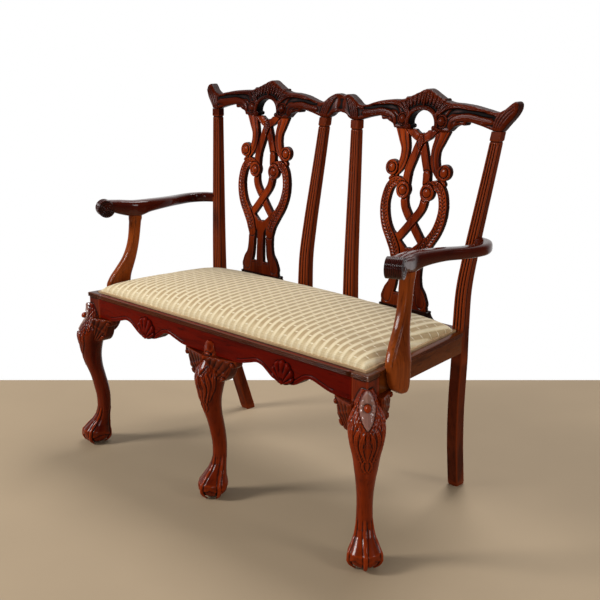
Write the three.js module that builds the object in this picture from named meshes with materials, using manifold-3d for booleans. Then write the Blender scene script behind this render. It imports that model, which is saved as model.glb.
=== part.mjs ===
// A settee with two pierced chair backs, three cabriole front legs and a drop-in seat.
// Millimetres. +X runs along the settee, +Y from front to back and +Z up. Left and right are
// as seen from the front. The front rail's face lies at y = 0 until the whole is centred at the end.
import * as THREE from 'three';
import { mergeVertices } from 'three/addons/utils/BufferGeometryUtils.js';
import Module from 'manifold-3d';

const wasm = await Module();
wasm.setup();

// Driving dimensions of the seat frame
const frontWidth = 1026; // over the front corners at the seat rail
const rearWidth = 923; // over the rear posts at the seat rail
const seatDepth = 408; // front rail's face to the front of the rear posts
const railTop = 445; // floor to the top of the seat rails
const railHeight = 66; // front and rear
const sideRailHeight = 54;
const railThickness = 34;
const lipWidth = 14; // wood left standing outside the drop-in seat
const rebateDepth = 16; // rail top down to the ledge that carries the seat
const nosingHeight = 12;
const nosingReach = 3.5;
const legPost = 46; // square head of a front leg between the rails
const rearRailThickness = 50;

// Driving dimensions of the back
const stileLength = 480; // rail top to the underside of the crest
const backLean = 49.5; // how far the back leans over the length of a stile
const crestRise = 88; // top of a stile to the crest's peak
const crestRoll = 12; // how much further back the peak rolls
const postTopSpread = 990; // between the centres of the outer posts at the crest
const stileFootSpread = 169; // between the inner stiles at the rail
const stileTopSpread = 113; // between the inner stiles at the crest

// Clearance round every tenon, screw and cut, and past every cut's end
const jointGap = 0.3;
const overrun = 5;

const frontHalf = frontWidth / 2;
const rearHalf = rearWidth / 2;
const railBottom = railTop - railHeight;
const sideRailBottom = railTop - sideRailHeight;
const ledge = railTop - rebateDepth;
const stileTop = railTop + stileLength;
const crestPeak = stileTop + crestRise;

// Materials
const wood = (color) => new THREE.MeshStandardMaterial({ color, roughness: 0.28, metalness: 0 });
const cloth = (color) => new THREE.MeshStandardMaterial({ color, roughness: 0.9, metalness: 0 });
const mahogany = wood(0x5a2012);
const mahoganyDark = wood(0x3c140c);
const beech = wood(0xb08a5c);
const striped = cloth(0xd8c7a2);
const linen = cloth(0xb7a684);
const jute = cloth(0x9a7d52);
const cambric = cloth(0x2b2926);
const steel = new THREE.MeshStandardMaterial({ color: 0x8c8c88, roughness: 0.4, metalness: 1 });

// Solids from three.js geometry, and back
function solidFrom(positions, triangles) {
  return new wasm.Manifold(new wasm.Mesh({
    numProp: 3,
    vertProperties: new Float32Array(positions),
    triVerts: new Uint32Array(triangles),
  }));
}

function solidOf(geometry) {
  const plain = geometry.clone();
  plain.deleteAttribute('normal');
  plain.deleteAttribute('uv');
  const merged = mergeVertices(plain);
  return solidFrom(merged.attributes.position.array, merged.index.array);
}

function geometryOf(solid) {
  const mesh = solid.getMesh();
  const geometry = new THREE.BufferGeometry();
  geometry.setAttribute('position', new THREE.BufferAttribute(mesh.vertProperties, mesh.numProp));
  geometry.setIndex(new THREE.BufferAttribute(mesh.triVerts, 1));
  const faceted = geometry.toNonIndexed();
  faceted.computeVertexNormals();
  return faceted;
}

// Moves every corner of a solid; turned is true where the move is a reflection
function reshape(solid, move, turned = false) {
  const mesh = solid.getMesh();
  const positions = [];
  for (let i = 0; i < mesh.vertProperties.length; i += 3) {
    positions.push(...move(...mesh.vertProperties.slice(i, i + 3)));
  }
  const triangles = Array.from(mesh.triVerts);
  return solidFrom(positions, turned ? triangles.reverse() : triangles);
}

const mirrorX = (solid) => reshape(solid, (x, y, z) => [-x, y, z], true);

// A flat outline drawn out along one axis
function extrude(points, depth) {
  const shape = new THREE.Shape(points.map(([a, b]) => new THREE.Vector2(a, b)));
  return solidOf(new THREE.ExtrudeGeometry(shape, { depth, bevelEnabled: false }));
}

const planPrism = (points, bottom, top) => (
  reshape(extrude(points, top - bottom), (a, b, c) => [a, b, c + bottom]));
const frontPrism = (points, front, back) => (
  reshape(extrude(points, back - front), (a, b, c) => [a, back - c, b]));
const sidePrism = (points, left, right) => (
  reshape(extrude(points, right - left), (a, b, c) => [left + c, a, b]));

// A straight bar between two corners, grown on all sides by a gap where it cuts a mortise
function bar([x0, x1], [y0, y1], [z0, z1], gap = 0) {
  const size = [x1 - x0 + gap * 2, y1 - y0 + gap * 2, z1 - z0 + gap * 2];
  const box = new THREE.BoxGeometry(...size);
  box.translate((x0 + x1) / 2, (y0 + y1) / 2, (z0 + z1) / 2);
  return solidOf(box);
}

// A skin over rings of corners, closed by a flat face at each end
function loft(rings) {
  const sides = rings[0].length;
  const triangles = [];
  for (let r = 0; r + 1 < rings.length; r += 1) {
    for (let s = 0; s < sides; s += 1) {
      const a = r * sides + s;
      const b = r * sides + ((s + 1) % sides);
      triangles.push(a, b, b + sides, a, b + sides, a + sides);
    }
  }
  const last = (rings.length - 1) * sides;
  for (let s = 1; s + 1 < sides; s += 1) {
    triangles.push(0, s + 1, s, last, last + s, last + s + 1);
  }
  const flat = rings.flat();
  const corner = (i) => new THREE.Vector3(...flat[i]);
  let volume = 0;
  for (let t = 0; t < triangles.length; t += 3) {
    const [a, b, c] = triangles.slice(t, t + 3).map(corner);
    volume += a.dot(b.cross(c));
  }
  return solidFrom(flat.flat(), volume < 0 ? triangles.reverse() : triangles);
}

// A round-cornered oval of unit half sizes; a higher power makes it squarer
function ovalRing(sides, power) {
  return Array.from({ length: sides }, (_, i) => {
    const angle = (i / sides) * Math.PI * 2;
    const bend = (value) => Math.sign(value) * Math.abs(value) ** (2 / power);
    return [bend(Math.cos(angle)), bend(Math.sin(angle))];
  });
}

// A rectangle of unit half sizes with its corners cut off by a share of each side
function cutCornerRing(cutShare) {
  const flat = 1 - cutShare;
  return [[1, flat], [flat, 1], [-flat, 1], [-1, flat], [-1, -flat], [-flat, -1], [flat, -1], [1, -flat]];
}

const mix = THREE.MathUtils.lerp;
const clamp = THREE.MathUtils.clamp;

// A smooth curve through points of any three values
function smooth(points, steps) {
  const curve = new THREE.CatmullRomCurve3(points.map((p) => new THREE.Vector3(...p)), false, 'centripetal');
  return curve.getPoints(steps).map((p) => p.toArray());
}

function joined(solids) {
  return solids.reduce((all, one) => all.add(one));
}

function cut(solid, tools) {
  return tools.reduce((left, tool) => left.subtract(tool), solid);
}

// A round bar with a wider head, its tip at the origin and its head towards +Z
const screwSides = 10;
function screwSolid(radius, headRadius, headHeight, length, gap = 0) {
  const points = [
    [0, -gap],
    [radius + gap, -gap],
    [radius + gap, length - headHeight - gap],
    [headRadius + gap, length - headHeight - gap],
    [headRadius + gap, length + gap],
    [0, length + gap],
  ];
  const turned = new THREE.LatheGeometry(points.map((p) => new THREE.Vector2(...p)), screwSides);
  return solidOf(turned.rotateX(Math.PI / 2));
}

const settee = new THREE.Group();
const frameGroup = new THREE.Group();
const seatGroup = new THREE.Group();
settee.add(frameGroup, seatGroup);

function place(group, name, solid, material) {
  const mesh = new THREE.Mesh(geometryOf(solid), material);
  mesh.name = name;
  group.add(mesh);
  return mesh;
}

function placePair(group, name, solid, material) {
  place(group, `${name}_right`, solid, material);
  place(group, `${name}_left`, mirrorX(solid), material);
}

// The seat frame's slanted side: x at a depth y, inset square to the side by a distance
const sideSlope = (frontHalf - rearHalf) / seatDepth;
const sideSecant = Math.hypot(1, sideSlope);
const sideX = (y, inset = 0) => frontHalf - sideSlope * y - inset * sideSecant;

function sideBar([outer, inner], [y0, y1], [z0, z1], gap = 0) {
  const front = y0 - gap;
  const back = y1 + gap;
  const points = [
    [sideX(front, outer - gap), front],
    [sideX(back, outer - gap), back],
    [sideX(back, inner + gap), back],
    [sideX(front, inner + gap), front],
  ];
  return planPrism(points, z0 - gap, z1 + gap);
}

// The pocket that the drop-in seat sits in, from the ledge up
function pocketOutline(inset) {
  const front = lipWidth + inset;
  const back = seatDepth - inset;
  const half = (y) => sideX(y, lipWidth + inset);
  return [[-half(front), front], [half(front), front], [half(back), back], [-half(back), back]];
}
const pocket = planPrism(pocketOutline(0), ledge, railTop + overrun);

// Tenons of the seat rails
const tenonThickness = 10;
const tenonReachShare = 0.42; // of the post that it enters
const tenonShoulder = 8; // rail's edge to the tenon, above and below
const tenonZ = [railBottom + tenonShoulder, ledge - tenonShoulder];
const sideTenonZ = [sideRailBottom + tenonShoulder, ledge - tenonShoulder];
const railCore = [(railThickness - tenonThickness) / 2, (railThickness + tenonThickness) / 2];

// Sizes of the rear posts and stiles
const post = {
  width: 32, // at the seat rail
  depth: 30,
  topWidth: 25, // at the crest
  topDepth: 22,
  footWidth: 31,
  footDepth: 33,
  kneeDrop: 8, // straight stretch below the rail
  footRake: 69, // how far back the foot stands
  footInset: 44, // how far in the foot stands
  cornerShare: 0.22,
};
const postX = rearHalf - post.width / 2;
const postCentreY = seatDepth + post.depth / 2;
const postInner = rearHalf - post.width;

// The back leans as one: every piece above the rail is built upright and then moved by this
const crestJoint = stileTop + tenonShoulder;
// The stiles rise nearly upright at first and then lean back and spread
const leanCurveShares = [[0, 0], [0.2, 0.05], [0.4, 0.25], [0.6, 0.5], [0.8, 0.755], [1, 1], [1.25, 1.31]];
function leanShare(along) {
  const next = clamp(leanCurveShares.findIndex(([at]) => at > along), 1, leanCurveShares.length - 1);
  const [low, high] = [leanCurveShares[next - 1], leanCurveShares[next]];
  return mix(low[1], high[1], (along - low[0]) / (high[0] - low[0]));
}
function leanAt(z) {
  const lean = backLean * leanShare(Math.max(z - railTop, 0) / stileLength);
  const roll = Math.max(z - crestJoint, 0) / (crestPeak - crestJoint);
  return lean + crestRoll * roll * roll;
}
const leaned = (solid) => reshape(solid, (x, y, z) => [x, y + leanAt(z), z]);
const alongStile = (z) => (z - railTop) / stileLength;

// Rear posts: foot to crest in one timber, the leg raking back and in below the rail
// Rows are height, how much of the foot's rake is reached and how much of its inset
const rearLegBendShares = [
  [0, 1, 1], [0.16, 0.78, 0.84], [0.35, 0.52, 0.64], [0.54, 0.31, 0.44],
  [0.72, 0.14, 0.24], [0.88, 0.04, 0.08], [1, 0, 0],
];
const straightBottom = railBottom - post.kneeDrop;
const postRingShares = [0.2, 0.4, 0.6, 0.8, 1];
const tenonUp = 18; // tenons of posts, stiles and splats into the crest

function postSolid(gap = 0) {
  const rings = [];
  const section = cutCornerRing(post.cornerShare);
  const addRing = (x, y, z, width, depth) => {
    const half = [width / 2 + gap, depth / 2 + gap];
    rings.push(section.map(([a, b]) => [x + a * half[0], y + b * half[1], z]));
  };
  for (const [heightShare, rakeShare, insetShare] of rearLegBendShares) {
    const width = mix(post.footWidth, post.width, heightShare);
    const depth = mix(post.footDepth, post.depth, heightShare);
    const x = postX - post.footInset * insetShare;
    addRing(x, postCentreY + post.footRake * rakeShare, straightBottom * heightShare, width, depth);
  }
  addRing(postX, postCentreY, railTop, post.width, post.depth);
  for (const share of postRingShares) {
    const x = mix(postX, postTopSpread / 2, leanShare(share));
    const width = mix(post.width, post.topWidth, share);
    const depth = mix(post.depth, post.topDepth, share);
    addRing(x, postCentreY, railTop + stileLength * share, width, depth);
  }
  return loft(rings);
}

const topTenon = { width: 14, depth: 10 };
function topTenonBar(x, gap = 0) {
  const spanX = [x - topTenon.width / 2, x + topTenon.width / 2];
  const spanY = [postCentreY - topTenon.depth / 2, postCentreY + topTenon.depth / 2];
  return bar(spanX, spanY, [stileTop - overrun, stileTop + tenonUp], gap);
}

// Rear rail and side rails, with their tenons
const rearRailBack = seatDepth + post.depth;
const rearRailFront = rearRailBack - rearRailThickness;
const postTenonX = [postInner - overrun, postInner + post.width * tenonReachShare];
const rearTenonY = [rearRailBack - post.depth / 2, rearRailBack - post.depth / 2 + tenonThickness];
const sideTenonRear = [seatDepth - overrun, seatDepth + post.depth * tenonReachShare];
const sideTenonFront = [legPost - legPost * tenonReachShare, legPost + overrun];
const rearTenon = (gap) => bar(postTenonX, rearTenonY, tenonZ, gap);
const sideTenons = (gap) => [
  sideBar(railCore, sideTenonFront, sideTenonZ, gap),
  sideBar(railCore, sideTenonRear, sideTenonZ, gap),
];

// Inner stiles, which end on the rear rail with a tenon
const stile = { width: 30, depth: 27, topWidth: 25, footTenon: 22, footTenonWidth: 16, footTenonDepth: 12 };
const stileX = (share) => mix(stileFootSpread, stileTopSpread, leanShare(share)) / 2;
function stileFootTenon(gap = 0) {
  const spanX = [stileX(0) - stile.footTenonWidth / 2, stileX(0) + stile.footTenonWidth / 2];
  const spanY = [postCentreY - stile.footTenonDepth / 2, postCentreY + stile.footTenonDepth / 2];
  return bar(spanX, spanY, [railTop - stile.footTenon, railTop + overrun], gap);
}

function stileSolid() {
  const section = cutCornerRing(post.cornerShare);
  const rings = [0, ...postRingShares].map((share) => {
    const halfWidth = mix(stile.width, stile.topWidth, share) / 2;
    const halfDepth = mix(stile.depth, post.topDepth, share) / 2;
    const z = railTop + stileLength * share;
    return section.map(([a, b]) => [stileX(share) + a * halfWidth, postCentreY + b * halfDepth, z]);
  });
  return joined([loft(rings), stileFootTenon(), topTenonBar(stileX(1))]);
}

// Crest rail: one half's outline, taken up from the middle, over the arch, round the ear and back
const crest = {
  setback: 3, // behind the posts' front
  thickness: 28,
  archShare: 0.685, // of the way from a splat's axis to the next upright
  earReach: 45,
  splatJoint: 10, // how far the crest reaches below the stiles' tops at a splat
  splatShoulder: 84, // half width of that joint
  eyeHalfWidth: 36, // pierced eye over each splat
  eyeRise: 47,
};
const splatTop = stileTop - crest.splatJoint;
const splatTopX = (postTopSpread / 2 + stileX(1)) / 2; // each splat stands midway between its uprights
const splatFootX = (postX + stileX(0)) / 2;
const middleTopShares = [[0, 0.68], [0.42, 0.72], [0.82, 0.6], [1.25, 0.44]];
const archTopShares = [
  [-0.95, 0.6], [-0.72, 0.655], [-0.52, 0.67], [-0.38, 0.73], [-0.2, 0.87], [0, 1],
  [0.2, 0.87], [0.38, 0.73], [0.52, 0.67], [0.72, 0.655], [0.95, 0.62],
];
const earShares = [
  [-0.8, 0.54], [-0.15, 0.48], [0.35, 0.56], [0.78, 0.74], [0.97, 0.7], [0.95, 0.5], [0.55, 0.2],
];
const shoulderShares = [[1.12, 0.12], [0.88, 0.17], [0.86, 0.09], [0.74, 0.09], [0.64, 0.02]];
const eyeShares = [[1, 0], [1.06, 0.4], [0.85, 0.75], [0.45, 0.95]];
const middleArchShares = [[0.75, 0.05], [0.5, 0.15], [0, 0.2]];

function crestHalfOutline() {
  const earX = postTopSpread / 2;
  const postHalf = post.topWidth / 2;
  const stileHalf = stile.topWidth / 2;
  const up = (share) => stileTop + crestRise * share;
  const archReach = (earX - splatTopX) * crest.archShare;
  const arch = ([a, b]) => [splatTopX + archReach * a, up(b)];
  const eye = (side) => ([a, b]) => [splatTopX + side * crest.eyeHalfWidth * a, splatTop + crest.eyeRise * b];
  const shoulder = (side) => ([a, b]) => [splatTopX + side * archReach * a, up(b)];
  const top = [
    ...middleTopShares.map(([a, b]) => [stileX(1) * a, up(b)]),
    ...archTopShares.map(arch),
    ...earShares.map(([a, b]) => [earX + crest.earReach * a, up(b)]),
  ];
  const smoothTop = smooth(top.map(([a, b]) => [a, b, 0]), top.length * 2).map(([a, b]) => [a, b]);
  return [
    ...smoothTop,
    [earX + postHalf, stileTop],
    [earX - postHalf, stileTop],
    ...shoulderShares.map(shoulder(1)),
    [splatTopX + crest.splatShoulder, splatTop],
    ...eyeShares.map(eye(1)),
    [splatTopX, splatTop + crest.eyeRise],
    ...eyeShares.map(eye(-1)).reverse(),
    [splatTopX - crest.splatShoulder, splatTop],
    ...shoulderShares.map(shoulder(-1)).reverse(),
    [stileX(1) + stileHalf, stileTop],
    [stileX(1) - stileHalf, stileTop],
    ...middleArchShares.map(([a, b]) => [(stileX(1) - stileHalf) * a, up(b)]),
  ];
}

// Splats: straps of wood drawn as curves in shares of the splat's half width and height
const splat = {
  setback: 11, // behind the posts' front
  thickness: 12,
  halfWidth: 105, // over the ovals
  footRise: 10, // splat's foot above the rail, inside the shoe
  tenonWidth: 22,
  tenonThickness: 7,
  tenonX: 58, // axis to the middle of each top tenon
};
const splatFoot = railTop + splat.footRise;
const splatHeight = splatTop - splatFoot;
// Each row is across, up and width; across and width follow the half width
const outerStrapShares = [
  [0.62, 1, 0.42], [0.53, 0.95, 0.31], [0.455, 0.9, 0.255],
  [0.455, 0.85, 0.235], [0.52, 0.8, 0.22], [0.68, 0.765, 0.2],
];
const laceStrapShares = [
  [0.46, 1.03, 0.21], [0.23, 0.975, 0.21], [0, 0.94, 0.21], [-0.18, 0.84, 0.21], [-0.285, 0.765, 0.21],
  [-0.305, 0.676, 0.21], [-0.265, 0.587, 0.21], [0, 0.502, 0.21], [0.26, 0.43, 0.21], [0.42, 0.39, 0.2],
];
const ovalStrapShares = [
  [0.41, 0.705, 0.21], [0.58, 0.715, 0.22], [0.765, 0.685, 0.235], [0.87, 0.605, 0.245], [0.85, 0.535, 0.26],
  [0.745, 0.465, 0.27], [0.56, 0.4, 0.29], [0.4, 0.34, 0.3], [0.34, 0.29, 0.28],
];
const legStrapShares = [
  [0.36, 0.33, 0.28], [0.34, 0.28, 0.25], [0.35, 0.21, 0.23],
  [0.39, 0.15, 0.26], [0.47, 0.11, 0.33], [0.52, 0.07, 0.38],
];
const stemShares = [[0, 0.325, 0.34], [0, 0.29, 0.26], [0, 0.2, 0.25], [0, 0.1, 0.27]];
const joinShares = [[0.24, 0.355, 0.2], [0.14, 0.33, 0.22], [0, 0.31, 0.24]];
const footShares = [[0.7, 0], [0.7, 0.045], [0.64, 0.095], [0.3, 0.105]];
const bossShares = [[0.78, 0.785, 0.19], [0.36, 0.67, 0.205]]; // upper and inner volutes
const bossSides = 14;
const stepsToPoint = 2; // outline points for each point of a strap's curve

function splatSolid() {
  const spanY = [seatDepth + splat.setback, seatDepth + splat.setback + splat.thickness];
  const across = (share) => splat.halfWidth * share;
  const up = (share) => splatFoot + splatHeight * share;
  const strap = (shares, side) => {
    const points = shares.map(([a, b, w]) => [across(a) * side, up(b), across(w) / 2]);
    const line = smooth(points, (shares.length - 1) * stepsToPoint);
    const edge = (way) => line.map(([x, z, half], i) => {
      const [before, after] = [line[Math.max(i - 1, 0)], line[Math.min(i + 1, line.length - 1)]];
      const run = new THREE.Vector2(after[0] - before[0], after[1] - before[1]).normalize();
      return [x - run.y * half * way, z + run.x * half * way];
    });
    return frontPrism([...edge(1), ...edge(-1).reverse()], ...spanY);
  };
  const disc = (x, z, radius) => {
    const points = ovalRing(bossSides, 2).map(([a, b]) => [x + a * radius, z + b * radius]);
    return frontPrism(points, ...spanY);
  };
  const footHalf = footShares.map(([a, b]) => [across(a), up(b)]);
  const parts = [
    frontPrism([...footHalf, ...footHalf.map(([x, z]) => [-x, z]).reverse()], ...spanY),
    strap(stemShares, 1),
  ];
  for (const side of [-1, 1]) {
    for (const shares of [outerStrapShares, laceStrapShares, ovalStrapShares, legStrapShares, joinShares]) {
      parts.push(strap(shares, side));
    }
    for (const [a, b, r] of bossShares) {
      parts.push(disc(across(a) * side, up(b), across(r)));
    }
  }
  const trimmed = joined(parts).subtract(bar(
    [-splat.halfWidth * 2, splat.halfWidth * 2],
    [spanY[0] - overrun, spanY[1] + overrun],
    [splatTop, crestPeak],
  ));
  return joined([trimmed, ...splatTenons()]);
}

function splatTenons(gap = 0) {
  const middle = seatDepth + splat.setback + splat.thickness / 2;
  const spanY = [middle - splat.tenonThickness / 2, middle + splat.tenonThickness / 2];
  return [-1, 1].map((side) => {
    const x = splat.tenonX * side;
    const spanX = [x - splat.tenonWidth / 2, x + splat.tenonWidth / 2];
    return bar(spanX, spanY, [splatTop - overrun, splatTop + tenonUp], gap);
  });
}

// A splat leans outwards as it rises, so its upright form is moved across by height
const splatAxis = (z) => mix(splatFootX, splatTopX, (z - splatFoot) / splatHeight);
const ontoAxis = (solid) => reshape(solid, (x, y, z) => [x + splatAxis(z), y, z]);

// Shoe: a moulded foot on the rear rail with a slot that takes the splat
const shoe = { height: 24, toe: 16, frontSetback: 3, backSetback: 29, bevel: 4 };
function shoeSolid() {
  const half = splat.halfWidth * footShares[0][0];
  const front = seatDepth + shoe.frontSetback;
  const back = seatDepth + shoe.backSetback;
  const top = railTop + shoe.height;
  const section = [
    [front, railTop], [back, railTop], [back, top], [front + shoe.bevel, top], [front, top - shoe.bevel * 2],
  ];
  const body = reshape(
    sidePrism(section, -1, 1),
    (x, y, z) => [x * (half + mix(shoe.toe, shoe.bevel, (z - railTop) / shoe.height)), y, z],
  );
  const slotY = [seatDepth + splat.setback, seatDepth + splat.setback + splat.thickness];
  return body.subtract(bar([-half, half], slotY, [splatFoot, top + overrun], jointGap));
}

// Cabriole leg, drawn along the way that its knee points
const leg = {
  kneeLap: 36, // how far the knee's form runs up over the rail
  footWidth: 88,
  kneeReach: 39, // knee in front of the leg post's arris
  postDrop: 50, // post's foot below the rail, inside the knee
};
// Rows are height, front and back (in shares of the knee's reach) and width (of the foot's)
const legRowShares = [
  [0, 0.72, -0.72, 0.64], [0.016, 0.94, -0.94, 0.83], [0.05, 1.08, -1.08, 0.96], [0.095, 1.0, -1.04, 0.9],
  [0.135, 0.6, -1.0, 0.7], [0.17, 0.24, -1.02, 0.57], [0.205, -0.02, -1.05, 0.5], [0.25, -0.15, -1.12, 0.435],
  [0.32, -0.15, -1.15, 0.42], [0.4, 0, -1.07, 0.44], [0.485, 0.21, -0.87, 0.51], [0.56, 0.5, -0.7, 0.6],
  [0.635, 0.74, -0.66, 0.7], [0.71, 0.9, -0.78, 0.86], [0.775, 1, -1, 0.95], [0.825, 0.8, -1.12, 0.92],
  [0.9, 0.34, -1.15, 0.68], [1, 0.08, -1.1, 0.3],
];
const legHeight = railBottom + leg.kneeLap;
const legSides = 16;
const legPower = 1.85; // of the knee's and ankle's sections
const ballPower = 2.35;
const ballTopShare = 0.12;
const clawTurns = [0, 0.22, 0.5, 0.78]; // turns round the ball from the leg's front
// Rows are height (of the leg's), how far out from the leg's skin the claw runs and its girth
const clawRowShares = [
  [0.235, 0.86, 0.14], [0.17, 0.93, 0.2], [0.11, 0.95, 0.19], [0.055, 0.96, 0.16], [0.02, 0.95, 0.08],
];
const clawSides = 6;
const clawSteps = 7;

function legRowAt(height) {
  const next = legRowShares.findIndex(([up]) => up >= height);
  const [low, high] = [legRowShares[Math.max(next - 1, 0)], legRowShares[next]];
  const share = high[0] > low[0] ? (height - low[0]) / (high[0] - low[0]) : 0;
  return low.map((value, i) => mix(value, high[i], share));
}

function cabriole(forward, gap = 0) {
  const across = [-forward[1], forward[0]];
  const at = (out, side, z) => [
    forward[0] * out + across[0] * side,
    forward[1] * out + across[1] * side,
    z,
  ];
  const rings = legRowShares.map(([up, front, back, width]) => {
    const section = ovalRing(legSides, up < ballTopShare ? ballPower : legPower);
    const middle = leg.kneeReach * (front + back) / 2;
    const halfDepth = leg.kneeReach * (front - back) / 2 + gap;
    const halfWidth = leg.footWidth * width / 2 + gap;
    return section.map(([a, b]) => at(middle + halfDepth * a, halfWidth * b, legHeight * up));
  });
  if (gap > 0) {
    return loft(rings);
  }
  const claws = clawTurns.map((turn) => {
    const angle = turn * Math.PI * 2;
    const line = smooth(clawRowShares.map(([height, skin]) => {
      const [, front, back, width] = legRowAt(height);
      const middle = leg.kneeReach * (front + back) / 2;
      const out = middle + leg.kneeReach * (front - back) / 2 * Math.cos(angle) * skin;
      const side = leg.footWidth * width / 2 * Math.sin(angle) * skin;
      return [out, side, legHeight * height];
    }), clawSteps);
    const girthPoints = clawRowShares.map(([height, , girth]) => [leg.footWidth / 2 * girth, height, 0]);
    const girths = smooth(girthPoints, clawSteps);
    return loft(line.map(([out, side, z], i) => {
      const [before, after] = [line[Math.max(i - 1, 0)], line[Math.min(i + 1, line.length - 1)]];
      const run = new THREE.Vector3(...after).sub(new THREE.Vector3(...before)).normalize();
      const flank = new THREE.Vector3(-Math.sin(angle), Math.cos(angle), 0);
      const face = new THREE.Vector3().crossVectors(flank, run).normalize();
      const edge = new THREE.Vector3().crossVectors(run, face);
      return ovalRing(clawSides, 2).map(([a, b]) => {
        const point = new THREE.Vector3(out, side, z)
          .addScaledVector(face, a * girths[i][0])
          .addScaledVector(edge, b * girths[i][0]);
        return at(point.x, point.y, point.z);
      });
    }));
  });
  return joined([loft(rings), ...claws]);
}

// Outline of a corner leg's post in plan; its outer side follows the side rail
const cornerPostOutline = (grow, reach = 0) => [
  [frontHalf - legPost - grow, -grow - reach],
  [sideX(-reach, -grow - reach), -grow - reach],
  [sideX(legPost + grow, -grow - reach), legPost + grow],
  [frontHalf - legPost - grow, legPost + grow],
];
const postBottom = railBottom - leg.postDrop;
const nosingBottom = railTop - nosingHeight;

const cornerForward = [Math.SQRT1_2, -Math.SQRT1_2];
function cornerLeg(gap = 0) {
  const body = reshape(cabriole(cornerForward, gap), (x, y, z) => [x + frontHalf, y, z]);
  const head = planPrism(cornerPostOutline(gap), postBottom - gap, railTop);
  if (gap > 0) {
    return joined([body, head]);
  }
  return joined([body, head, planPrism(cornerPostOutline(0, nosingReach), nosingBottom, railTop)]);
}

// The middle leg stands under the rail, with a tenon up into it and a carved leaf on its face
const middleForward = [0, -1];
const leaf = { width: 26, top: 418, thickness: 8, tenonWidth: 30, tenonHeight: 26 };
const leafShares = [
  [-0.5, 0], [0.5, 0], [0.46, 0.45], [0.5, 0.7], [0.24, 0.92],
  [0, 1], [-0.24, 0.92], [-0.5, 0.7], [-0.46, 0.45],
];
const middleTenon = (gap = 0) => bar(
  [-leaf.tenonWidth / 2, leaf.tenonWidth / 2],
  railCore,
  [railBottom - overrun, railBottom + leaf.tenonHeight],
  gap,
);
function middleLeg() {
  const leafBottom = postBottom;
  const outline = leafShares.map(([a, b]) => [leaf.width * a, mix(leafBottom, leaf.top, b)]);
  const knee = cabriole(middleForward).subtract(bar(
    [-leg.footWidth, leg.footWidth],
    [-leg.footWidth, leg.footWidth],
    [railBottom - jointGap, railTop],
  ));
  return joined([knee, frontPrism(outline, -leaf.thickness, -jointGap), middleTenon()]);
}

// Front rail in one length: each bay has a shaped apron with a shell in its middle
const apron = { reachShare: 0.624, rise: 16, shellRadius: 35, shellRelief: 8 };
const shellX = frontWidth / 4;
const apronReach = shellX * apron.reachShare;
const apronShares = [
  [1, 0], [0.9, 0.12], [0.72, 0.6], [0.56, 1], [0.44, 0.75], [0.35, 0.2], [0.24, -0.5], [0.13, -0.78],
];
const shellPetals = 9;
const shellPetalStep = 3; // outline points to a petal
const shellCuspShare = 0.9;
const bayX = [0, frontHalf - legPost];
const cornerTenonX = [frontHalf - legPost - overrun, frontHalf - legPost + legPost * tenonReachShare];
const cornerTenon = (gap = 0) => bar(cornerTenonX, railCore, tenonZ, gap);

function frontRailHalf() {
  const half = apronShares.map(([a, b]) => [apronReach * a, railBottom + apron.rise * b]);
  const bottom = [
    ...half.map(([a, b]) => [shellX + a, b]),
    ...half.map(([a, b]) => [shellX - a, b]).reverse(),
  ];
  const ends = [[bayX[0], railBottom], [bayX[0], railTop], [bayX[1], railTop], [bayX[1], railBottom]];
  const board = frontPrism([...ends, ...bottom], 0, railThickness);
  const nosing = bar(bayX, [-nosingReach, lipWidth], [nosingBottom, railTop]);
  const shellCentre = railBottom + apron.shellRelief;
  const count = shellPetals * shellPetalStep;
  const fan = Array.from({ length: count }, (_, i) => {
    const angle = (i / count) * Math.PI * 2;
    const radius = apron.shellRadius * (i % shellPetalStep === 0 ? shellCuspShare : 1);
    const flatten = Math.sin(angle) < 0 ? (shellCentre - (railBottom - apron.rise)) / apron.shellRadius : 1;
    return [shellX + Math.cos(angle) * radius, shellCentre + Math.sin(angle) * radius * flatten];
  });
  const shell = frontPrism(fan, -apron.shellRelief, lipWidth);
  return joined([cut(joined([board, nosing, shell]), [pocket]), cornerTenon()]);
}

// Knee brackets: an outline under the rail, swelling forward into the knee
const bracket = { drop: 57, thickness: 22, swell: 16, inKnee: 18 };
const bracketSpan = shellX - apronReach; // from the leg's axis
const bracketShares = [
  [1, 0], [0.99, -0.16], [0.9, -0.27], [0.8, -0.28],
  [0.72, -0.45], [0.62, -0.66], [0.45, -0.85], [0.22, -0.97],
];
function bracketBlank(postSide, top) {
  const reach = bracketSpan - postSide;
  const outline = [
    [-bracket.inKnee, 0],
    ...bracketShares.map(([a, b]) => [reach * a, bracket.drop * b]),
    [0, -bracket.drop],
    [-bracket.inKnee, -bracket.drop],
  ].map(([a, b]) => [-postSide - a, top + b]);
  const slab = frontPrism(outline, -bracket.swell, bracket.thickness);
  return reshape(slab, (x, y, z) => {
    const share = clamp(1 - (-x - postSide) / reach, 0, 1);
    return [x, y < 0 ? y * share : y, z];
  });
}

// The front legs with their brackets
const cornerLegCut = cut(cornerLeg(), [
  pocket,
  cornerTenon(jointGap),
  sideBar(railCore, sideTenonFront, sideTenonZ, jointGap),
]);
const cornerLegRoom = cornerLeg(jointGap);
placePair(frameGroup, 'front_leg', cornerLegCut, mahogany);
const frontBracketBlank = reshape(bracketBlank(legPost, railBottom), (x, y, z) => [x + frontHalf, y, z]);
placePair(frameGroup, 'knee_bracket_front', frontBracketBlank.subtract(cornerLegRoom), mahogany);
const sideBracketBlank = reshape(
  bracketBlank(legPost, sideRailBottom),
  (x, y, z) => [frontHalf - y + sideSlope * x, -x, z],
  true,
);
placePair(frameGroup, 'knee_bracket_side', sideBracketBlank.subtract(cornerLegRoom), mahogany);

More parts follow.
